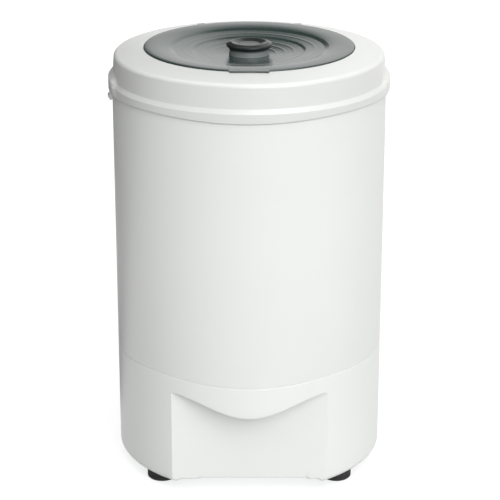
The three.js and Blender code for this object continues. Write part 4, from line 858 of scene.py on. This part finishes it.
def crown(r):
    """The rim rolls over softly towards the dish."""
    return LID_TOP - CROWN_DROP * ((CROWN_R - r) / (CROWN_R - DISH_R)) ** 2


def dish_height(r):
    """Sloping floor of the dish, with a step down and low ripples."""
    climb = LIP_Z - DISH_FLOOR - DISH_STEP
    slope = DISH_FLOOR + DISH_STEP + climb * (r - SEAT_R) / (LIP_R - SEAT_R)
    step = DISH_STEP / (1.0 + exp((r - STEP_R) / STEP_SOFTNESS))
    ripples = sum(RIPPLE_HEIGHT * exp(-((r - centre) / RIPPLE_WIDTH) ** 2) for centre in RIPPLES)
    return slope - step + ripples


floor_edge = LIP_R - 2.5
floor_radii = [floor_edge - i * (floor_edge - SEAT_R - 1) / FLOOR_STEPS for i in range(FLOOR_STEPS + 1)]
lid_mesh = turned(rounded([
    (0, DISH_BELOW), (SEAT_R, DISH_BELOW, 4.0), (LIP_R, LIP_Z - LID_WALL, 3.0),
    (CROWN_R - 14, LID_TOP - LID_WALL, 2.0), (LID_R, LID_TOP - LID_WALL, 0.5),
    (LID_R, LID_TOP, 1.0), *[(r, crown(r)) for r in (CROWN_R, 122, 118, 114, 110, 107)],
    (DISH_R, crown(DISH_R), 1.6), (LIP_R, LIP_Z, 2.2),
    *[(r, dish_height(r)) for r in floor_radii], (SEAT_R, DISH_FLOOR), (0, DISH_FLOOR),
]), 256)


# %% Tab and hinge arms of the lid
def plate(outline, x0, x1):
    """An outline of [y, z] points as a plate across X."""
    return closed_mesh([[(x, y, z) for y, z in rounded(outline)] for x in (x0, x1)], around=False)


TAB_WIDTH, TAB_REACH, TAB_ROOT = 49.0, 4.5, 6
TAB_TOP, TAB_LOW = LID_TOP + 0.1, COLLAR_TOP + 0.2
ARM_HALF, PIN_EYE, PIN_BORE, PIN_SADDLE = 4, 4.5, 1.8, 2.3
changes = [(JOIN, plate([
    (-LID_R - TAB_REACH, TAB_LOW, 0.3), (-LID_R - TAB_REACH, TAB_TOP, 0.5),
    (-LID_R + TAB_ROOT, TAB_TOP, 0.5), (-LID_R + TAB_ROOT, TAB_LOW),
], -TAB_WIDTH / 2, TAB_WIDTH / 2))]
rim_edge = sqrt(LID_R ** 2 - HINGE_X ** 2)
for x in (-HINGE_X, HINGE_X):
    x0, x1 = x - ARM_HALF, x + ARM_HALF
    changes += [
        (JOIN, plate([
            (rim_edge - 8, LEDGE + 1.8), (rim_edge, LEDGE + 1.8, 1), (HINGE_Y - 11.3, HINGE_Z + 1.1, 1),
            (HINGE_Y - PIN_SADDLE, HINGE_Z - PIN_SADDLE), (HINGE_Y + PIN_SADDLE, HINGE_Z - PIN_SADDLE),
            (HINGE_Y, HINGE_Z + PIN_EYE), (rim_edge + 2, LID_TOP - 1, 2), (rim_edge - 8, LID_TOP - 1)], x0, x1)),
        (JOIN, bar(PIN_EYE, (x0, HINGE_Y, HINGE_Z), (x1, HINGE_Y, HINGE_Z))),
        hole(PIN_BORE, (x0 - 1, HINGE_Y, HINGE_Z), (x1 + 1, HINGE_Y, HINGE_Z)),
    ]
changes.append(hole(SCREW_BORE, *upright(0, 0, DISH_BELOW - 2, DISH_FLOOR + 2)))
piece("lid", shaped(lid_mesh, *changes))

# %% [markdown]
# ## The knob and the seal
# The knob is a short turned cylinder that flares into a ring at the top, with a recess in the
# middle. The seal is a ring of soft rubber between the lid and the collar's ledge.

# %% The knob and the seal
KNOB_TOP, KNOB_R, knob_low = LID_TOP + 4.5, 29.6, DISH_FLOOR + 0.1
turned_piece("lid_knob", [
    (SCREW_BORE, knob_low), (26.0, knob_low), (25.2, KNOB_TOP - 10, 2.5),
    (KNOB_R, KNOB_TOP - 4.6, 1.4), (KNOB_R, KNOB_TOP - 2.4, 1.4), (23.4, KNOB_TOP, 2.2),
    (21.4, KNOB_TOP - 0.2, 1.2), (13.4, KNOB_TOP - 2.6, 1.2), (0, KNOB_TOP - 2.7), (0, KNOB_TOP - 10),
    (SCREW_BORE, KNOB_TOP - 10),
], 128)
seal_low, seal_top = LEDGE + PLAY, LID_TOP - 3.3
turned_piece("lid_seal", [
    (118, seal_low, 1), (123, seal_low, 1), (123, seal_top, 1.5), (118, seal_top, 1.5)], 160)

# %% [markdown]
# ## Feet
# Four moulded rubber feet stand under the base, each with a soft edge and a groove round its foot.

# %% The feet
FOOT_R, FOOT_HOLE, NECK_R, NECK_TOP = 20, 4.7, 12, 17.7
foot_profile = rounded([
    (SCREW_BORE, 5), (4.1, 5), (4.1, 0, 0.4), (18, 0, 1.0), (FOOT_R, 2, 1.5), (FOOT_R, 5.5, 0.4),
    (19.2, 6.2), (FOOT_R, 6.9, 0.4), (FOOT_R, 12.7, 0.8), (NECK_R, 12.7),
    (NECK_R, NECK_TOP), (SCREW_BORE, NECK_TOP),
])
for i, (x, y) in enumerate(FOOT_PLACES, 1):
    piece(f"foot_{i}", moved(turned(foot_profile, 64), x, y), f"foot_skin_{i}")

# %% [markdown]
# ## Screws
# The collar's and the feet's screws have a domed head with a cross recess.

# %% Screws
HEAD_R, HEAD_HEIGHT, SHANK_R = 3.8, 1.6, 1.8
CROSS_ARM, CROSS_HALF, CROSS_SHARE = 2.1, 0.45, 0.55
SCREW_TOP, EAR_SCREW = 39.0, 11.5


def cross_screw(length):
    """A screw that stands on its head, with the head's underside at Z = 0."""
    blank = turned(rounded([
        (0, -HEAD_HEIGHT), (HEAD_R - 0.6, -HEAD_HEIGHT, 0.8), (HEAD_R, -0.5, 0.4), (HEAD_R, 0),
        (SHANK_R, 0), (SHANK_R, length - 1), (0, length)]), 32)
    heights = -2 * HEAD_HEIGHT, HEAD_HEIGHT * CROSS_SHARE - HEAD_HEIGHT
    return shaped(blank, (CUT, block(-CROSS_ARM, CROSS_ARM, -CROSS_HALF, CROSS_HALF, *heights)),
                  (CUT, block(-CROSS_HALF, CROSS_HALF, -CROSS_ARM, CROSS_ARM, *heights)))


for i, (x, y) in enumerate(FOOT_PLACES, 1):
    screw = moved(cross_screw(SCREW_TOP - FOOT_HOLE), x, y, FOOT_HOLE)
    piece(f"foot_screw_{i}", screw, f"foot_screw_skin_{i}")
for i, a in enumerate(EAR_ANGLES, 1):
    screw = aimed(cross_screw(EAR_SCREW), polar(EAR_OUT + PLAY, a, EAR_Z), polar(-1, a, 0))
    piece(f"collar_screw_{i}", screw, f"collar_screw_skin_{i}")

# %% [markdown]
# ## The basket
# A deep bowl of stainless sheet, punched all over with rows of round holes. The holes are a repeated
# feature, so Geometry Nodes make the wall: one flat tile with a hole in it is set out in rows, every
# other row shifted by half a tile, bent round the axis, and merged with the plain sheet above and
# below it.

# %% The plain sheet above and below
SHAFT_BORE, BASKET_R, SHEET, BOWL_ROUNDING = 7.8, 136.0, 1.5, 8
BASKET_LOW, BASKET_TOP = 185.4, 500.0
ROWS, COLUMNS, ROW_HEIGHT, LOWEST_ROW, HOLE_R = 12, 36, 22.0, 212.0, 3.0
sheet_in, sheet_middle = BASKET_R - SHEET, BASKET_R - SHEET / 2
top_row = LOWEST_ROW + ROWS * ROW_HEIGHT
bowl_corner = (BASKET_R - BOWL_ROUNDING, BASKET_LOW + BOWL_ROUNDING)
bowl = turned([
    (SHAFT_BORE, BASKET_LOW), *arc(*bowl_corner, BOWL_ROUNDING, -90, 0, 6),
    (BASKET_R, LOWEST_ROW), (sheet_in, LOWEST_ROW),
    *arc(*bowl_corner, BOWL_ROUNDING - SHEET, 0, -90, 6), (SHAFT_BORE, BASKET_LOW + SHEET),
], 4 * COLUMNS)
hoop = turned(rounded([
    (BASKET_R, top_row), (BASKET_R, BASKET_TOP, 0.4), (sheet_in, BASKET_TOP, 0.4),
    (sheet_in, top_row)]), 4 * COLUMNS)
sheet = bmesh.new()
sheet.from_mesh(bowl)
sheet.from_mesh(hoop)
seams = [f for f in sheet.faces
         if all(min(abs(v.co.z / MM - z) for z in (LOWEST_ROW, top_row)) < 0.01 for v in f.verts)]
bmesh.ops.delete(sheet, geom=seams, context="FACES")
ends_mesh = bpy.data.meshes.new("basket_ends")
sheet.to_mesh(ends_mesh)
sheet.free()

# %% One tile: a rectangle with a round hole in it
HOLE_SIDES = 16
half_width, half_height = pi * sheet_middle / COLUMNS, ROW_HEIGHT / 2


def squared(turn):
    """Like a sine, but it runs straight up and down between -1 and 1, with flat tops."""
    return min(max(2 * asin(sin(turn)) / (pi / 2), -1), 1)


turns = [radians(k * 360 / HOLE_SIDES) for k in range(HOLE_SIDES)]
hole_ring = [(HOLE_R * cos(t), HOLE_R * sin(t)) for t in turns]
edge_ring = [(squared(t + pi / 2) * half_width, squared(t) * half_height) for t in turns]
tile_rings = [(edge_ring, 1), (hole_ring, 1), (hole_ring, -1), (edge_ring, -1)]
tile_points = [(x * MM, depth * SHEET / 2 * MM, z * MM) for ring, depth in tile_rings for x, z in ring]
tile_faces = []
for start in range(0, 3 * HOLE_SIDES, HOLE_SIDES):
    for k in range(HOLE_SIDES):
        m = (k + 1) % HOLE_SIDES
        tile_faces.append((start + k, start + m, start + HOLE_SIDES + m, start + HOLE_SIDES + k))
tile_mesh = bpy.data.meshes.new("tile")
tile_mesh.from_pydata(tile_points, [], tile_faces)

# %% The tree that sets out the tiles
wall, given = geometry_tree("perforated_wall", tile=SHAPE, ends=SHAPE, columns=COUNT, rows=COUNT,
                            row_height=FLOAT, lowest=FLOAT, radius=FLOAT, finish=LOOK)


def step(operation, *values):
    return maths(wall, operation, *values)


number = add(wall, "GeometryNodeInputIndex")
row = step("FLOOR", step("DIVIDE", number, given["columns"]))
column = step("FLOORED_MODULO", number, given["columns"])
shifted = step("MULTIPLY_ADD", step("FLOORED_MODULO", row, 2.0), 0.5, column)
pitch = step("DIVIDE", step("MULTIPLY", given["radius"], 2 * pi), given["columns"])
level = step("MULTIPLY_ADD", step("ADD", row, 0.5), given["row_height"], given["lowest"])
seat = add(wall, "CombineXYZ", {"X": step("MULTIPLY", shifted, pitch), "Z": level})
total = step("MULTIPLY", given["columns"], given["rows"])
seats = add(wall, "GeometryNodePoints", {"Count": total, "Position": seat})
tile_in = add(wall, "GeometryNodeObjectInfo", {"Object": given["tile"]})
tiles = add(wall, "GeometryNodeInstanceOnPoints",
            {"Points": seats, "Instance": tile_in.outputs["Geometry"]})
flat = add(wall, "GeometryNodeRealizeInstances", {0: tiles})
spot = separated(wall, add(wall, "GeometryNodeInputPosition"))
turn, out = step("DIVIDE", spot["X"], given["radius"]), step("ADD", spot["Y"], given["radius"])
new_x = step("MULTIPLY", out, step("SINE", turn))
new_y = step("MULTIPLY", step("MULTIPLY", out, step("COSINE", turn)), -1.0)
bent_to = add(wall, "CombineXYZ", {"X": new_x, "Y": new_y, "Z": spot["Z"]})
bent = add(wall, "GeometryNodeSetPosition", {"Geometry": flat, "Position": bent_to})
ends_in = add(wall, "GeometryNodeObjectInfo", {"Object": given["ends"]})
whole = add(wall, "GeometryNodeJoinGeometry")
wall.links.new(bent.outputs[0], whole.inputs[0])
wall.links.new(ends_in.outputs["Geometry"], whole.inputs[0])
welded = add(wall, "GeometryNodeMergeByDistance", {"Geometry": whole, "Distance": WELD})
end_tree(wall, welded, given["finish"])

# %% The basket
tile, ends = placed("tile", tile_mesh), placed("basket_ends", ends_mesh)
blank = placed("blank", bpy.data.meshes.new("blank"))
basket_mesh = cleaned(with_tree(
    blank, wall, tile=tile, ends=ends, columns=COLUMNS, rows=ROWS, row_height=ROW_HEIGHT * MM,
    lowest=LOWEST_ROW * MM, radius=sheet_middle * MM, finish=FINISHES["polished_steel"]))
for scrap in (tile, ends):
    bpy.data.objects.remove(scrap)
piece("spin_basket", basket_mesh)
print("basket:", len(basket_mesh.polygons), "faces")

# %% [markdown]
# ## Round the basket
# The ring that balances the basket, its hub and nut, and the tub with its cover and seal.

# %% Ring, hub and nut
RING_MOUTH, RING_LOW, RING_TOP, ring_out = 116.0, 500.3, 512.3, BASKET_R + 1
turned_piece("balance_ring", [
    (RING_MOUTH, RING_LOW, 0.6), (ring_out, RING_LOW, 0.6), (ring_out, RING_TOP - 4, 3),
    (ring_out - 4, RING_TOP, 3), (RING_MOUTH + 3, RING_TOP, 3), (RING_MOUTH, RING_TOP - 3, 2)], 192)
HUB_LOW, HUB_TOP, HUB_R, NUT_R, NUT_HEIGHT = 187.2, 221.2, 34, 12.0, 7
turned_piece("basket_hub", [
    (SHAFT_BORE, HUB_LOW), (HUB_R, HUB_LOW, 1), (HUB_R, HUB_LOW + 4, 2),
    (18.7, HUB_LOW + 15.3, 6), (NUT_R + 2, HUB_TOP, 2), (SHAFT_BORE, HUB_TOP)])
nut_low, nut_top = HUB_TOP + PLAY, HUB_TOP + NUT_HEIGHT + PLAY
nut_turns = [pi * k / 3 + pi / 6 for k in range(6)]
hexagon = closed_mesh([[(NUT_R * sin(t), NUT_R * cos(t), z) for t in nut_turns]
                       for z in (nut_low, nut_top)], around=False)
barrel = turned(rounded([
    (0, nut_low), (NUT_R - 1.2, nut_low), (NUT_R, nut_low + 0.7), (NUT_R, nut_top - 0.7),
    (NUT_R - 1.2, nut_top), (0, nut_top)]), 96)
nut_bore = hole(SHAFT_BORE, *upright(0, 0, nut_low - 1, nut_top + 1))
piece("hub_nut", shaped(hexagon, (KEEP_INSIDE, barrel), nut_bore))

# %% Tub, cover and seal
TUB_R, TUB_LOW, TUB_TOP, TUB_WALL, TUB_MOUTH = 160.0, 173.9, 518.0, 2.5, 50
DRAIN_Y, DRAIN_OUT, DRAIN_BORE = 138.0, 8.4, 7
tub_floor, tub_inside, nipple_low = TUB_LOW + TUB_WALL, TUB_R - TUB_WALL, TUB_LOW - 12
tub_mesh = turned(rounded([
    (TUB_MOUTH, TUB_LOW), (TUB_R, TUB_LOW, 7), (TUB_R, TUB_TOP, 0.5), (tub_inside, TUB_TOP, 0.5),
    (tub_inside, tub_floor, 4.5), (TUB_MOUTH, tub_floor)]), 192)
piece("tub", shaped(
    tub_mesh, (JOIN, bar(DRAIN_OUT, *upright(0, DRAIN_Y, nipple_low, tub_floor - 0.5))),
    hole(DRAIN_BORE, *upright(0, DRAIN_Y, nipple_low - 1, tub_floor + 1))))
turned_piece("tub_cover", [
    (160.3, 508), (162.8, 508, 0.6), (162.8, 520.8, 1.5), (131, 532.5, 0.8), (131, 530, 0.5), (157.5, 518.3),
    (160.3, 518.3)], 192)
turned_piece("tub_seal", [(128.8, 528.5, 0.6), (130.7, 528.5, 0.6), (130.7, 537.4, 0.6), (128.8, 537.4, 0.6)],
             192)

# %% [markdown]
# ## Drain and cable gland
# The spout and the gland are the two pieces that show at the back. Their axes lie level.

# %% Spout and gland
spout = turned(rounded([(9, 0), (15, 0, 0.5), (15, 3, 0.5), (11, 3, 0.5), (11, 11.8, 0.8), (9, 11.8, 0.8)]), 64)
piece("drain_spout", aimed(spout, (0, 170.2, SPOUT_Z), (0, 1, 0)))
gland = turned(rounded([
    (4, 0), (GLAND_R, 0, 0.5), (GLAND_R, 9.8), (12, 9.8, 0.5), (12, 13, 1.2), (4, 13, 1)]), 64)
piece("cable_gland", aimed(gland, polar(168.5, GLAND_ANGLE, GLAND_Z), polar(1, GLAND_ANGLE, 0)))

# %% [markdown]
# ## Motor, brake drum and bearings
# The drive is turned too, and sits under the tub.

# %% Motor
MOTOR_LOW, MOTOR_TOP, MOTOR_R, COVER_WALL = 60.3, 144.9, 64, 3
BOLT_CIRCLE, BOLT_ANGLES, BOLT_BORE = 53.5, (90, 210, 330), 2.3


def motor_cover(node, height, face, direction):
    """A cover whose flat face lies at a height, and whose skirt points up, 1, or down, -1."""
    inside = MOTOR_R - COVER_WALL
    profile = rounded([
        (9.5, 0), (inside, 0, 1), (MOTOR_R, 3, 2), (MOTOR_R, height), (inside, height),
        (inside, 5, 1.5), (17.3, 3), (17.3, 11.3, 0.5), (13.3, 11.3), (13.3, 2), (9.5, 2)])
    cover = turned([(r, face + direction * z) for r, z in profile], 96)
    bolt_holes = [hole(BOLT_BORE, polar(BOLT_CIRCLE, a, face - 6), polar(BOLT_CIRCLE, a, face + 6))
                  for a in BOLT_ANGLES]
    piece(node, shaped(cover, *bolt_holes))


motor_cover("motor_lower_cover", 18, MOTOR_LOW, 1)
motor_cover("motor_upper_cover", 16, MOTOR_TOP, -1)
for node, inner, outer, low, high in (
        ("stator_core", 39.6, MOTOR_R, 78.6, 128.6), ("winding_lower", 43, 51.2, 68.3, 78.3),
        ("winding_upper", 43, 51.2, 128.9, 138.9), ("lower_bearing", SHAFT_BORE, 13, 62.45, 71.45),
        ("upper_bearing", SHAFT_BORE, 13, 133.75, 142.75), ("rotor", SHAFT_BORE, 39, 80.6, 126.9)):
    turned_piece(node, [(inner, low, 0.4), (outer, low, 0.6), (outer, high, 0.6), (inner, high, 0.4)])
SHAFT_R, SHAFT_LOW, SHAFT_TOP = 7.5, 60.6, 230.5
turned_piece("motor_shaft", [(0, SHAFT_LOW), (SHAFT_R, SHAFT_LOW, 0.8), (SHAFT_R, SHAFT_TOP, 0.8),
                             (0, SHAFT_TOP)], 48)

# %% Brake drum
BRAKE_LOW, WEB_LOW, WEB_TOP, BRAKE_TOP = 151.9, 157.9, 161.9, 167.9
SLEEVE_R, BRAKE_IN, BRAKE_R = 13.8, 33, 36
turned_piece("brake_drum", [
    (SHAFT_BORE, BRAKE_LOW), (SLEEVE_R, BRAKE_LOW, 0.5), (SLEEVE_R, WEB_LOW, 1),
    (BRAKE_IN, WEB_LOW, 1), (BRAKE_IN, BRAKE_LOW, 0.5), (BRAKE_R, BRAKE_LOW, 0.5),
    (BRAKE_R, BRAKE_TOP, 0.5), (BRAKE_IN, BRAKE_TOP, 0.5), (BRAKE_IN, WEB_TOP, 1),
    (SLEEVE_R, WEB_TOP, 1), (SLEEVE_R, BRAKE_TOP, 0.5), (SHAFT_BORE, BRAKE_TOP)])

# %% [markdown]
# ## Rubber buffers
# The motor stands on three waisted rubber buffers, each turned from one profile and set where its CAD
# part stands, with its foot on the base plate.

# %% Buffers
BUFFER_LOW, BUFFER_TOP, BUFFER_CIRCLE, BUFFER_R = 21.3, 56.7, 104.0, 15.0
WAIST = 0.8 * BUFFER_R
buffer_profile = rounded([
    (0, BUFFER_LOW), (BUFFER_R, BUFFER_LOW, 0.8), (BUFFER_R, BUFFER_LOW + 4, 1.5),
    (WAIST, BUFFER_LOW + 10, 4), (WAIST, (BUFFER_LOW + BUFFER_TOP) / 2), (WAIST, BUFFER_TOP - 10, 4),
    (BUFFER_R, BUFFER_TOP - 4, 1.5), (BUFFER_R, BUFFER_TOP, 0.8), (0, BUFFER_TOP)])
for number, angle in enumerate((30, 150, 270), 1):
    node = f"suspension_buffer_{number}"
    foot, head = (Vector(polar(BUFFER_CIRCLE, angle, z)) for z in (BUFFER_LOW, BUFFER_TOP))
    buffer = placed(f"{node}_skin", moved(turned(buffer_profile, 64), foot.x, foot.y))
    dress(buffer, node)
    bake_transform(buffer)
    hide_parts(node)
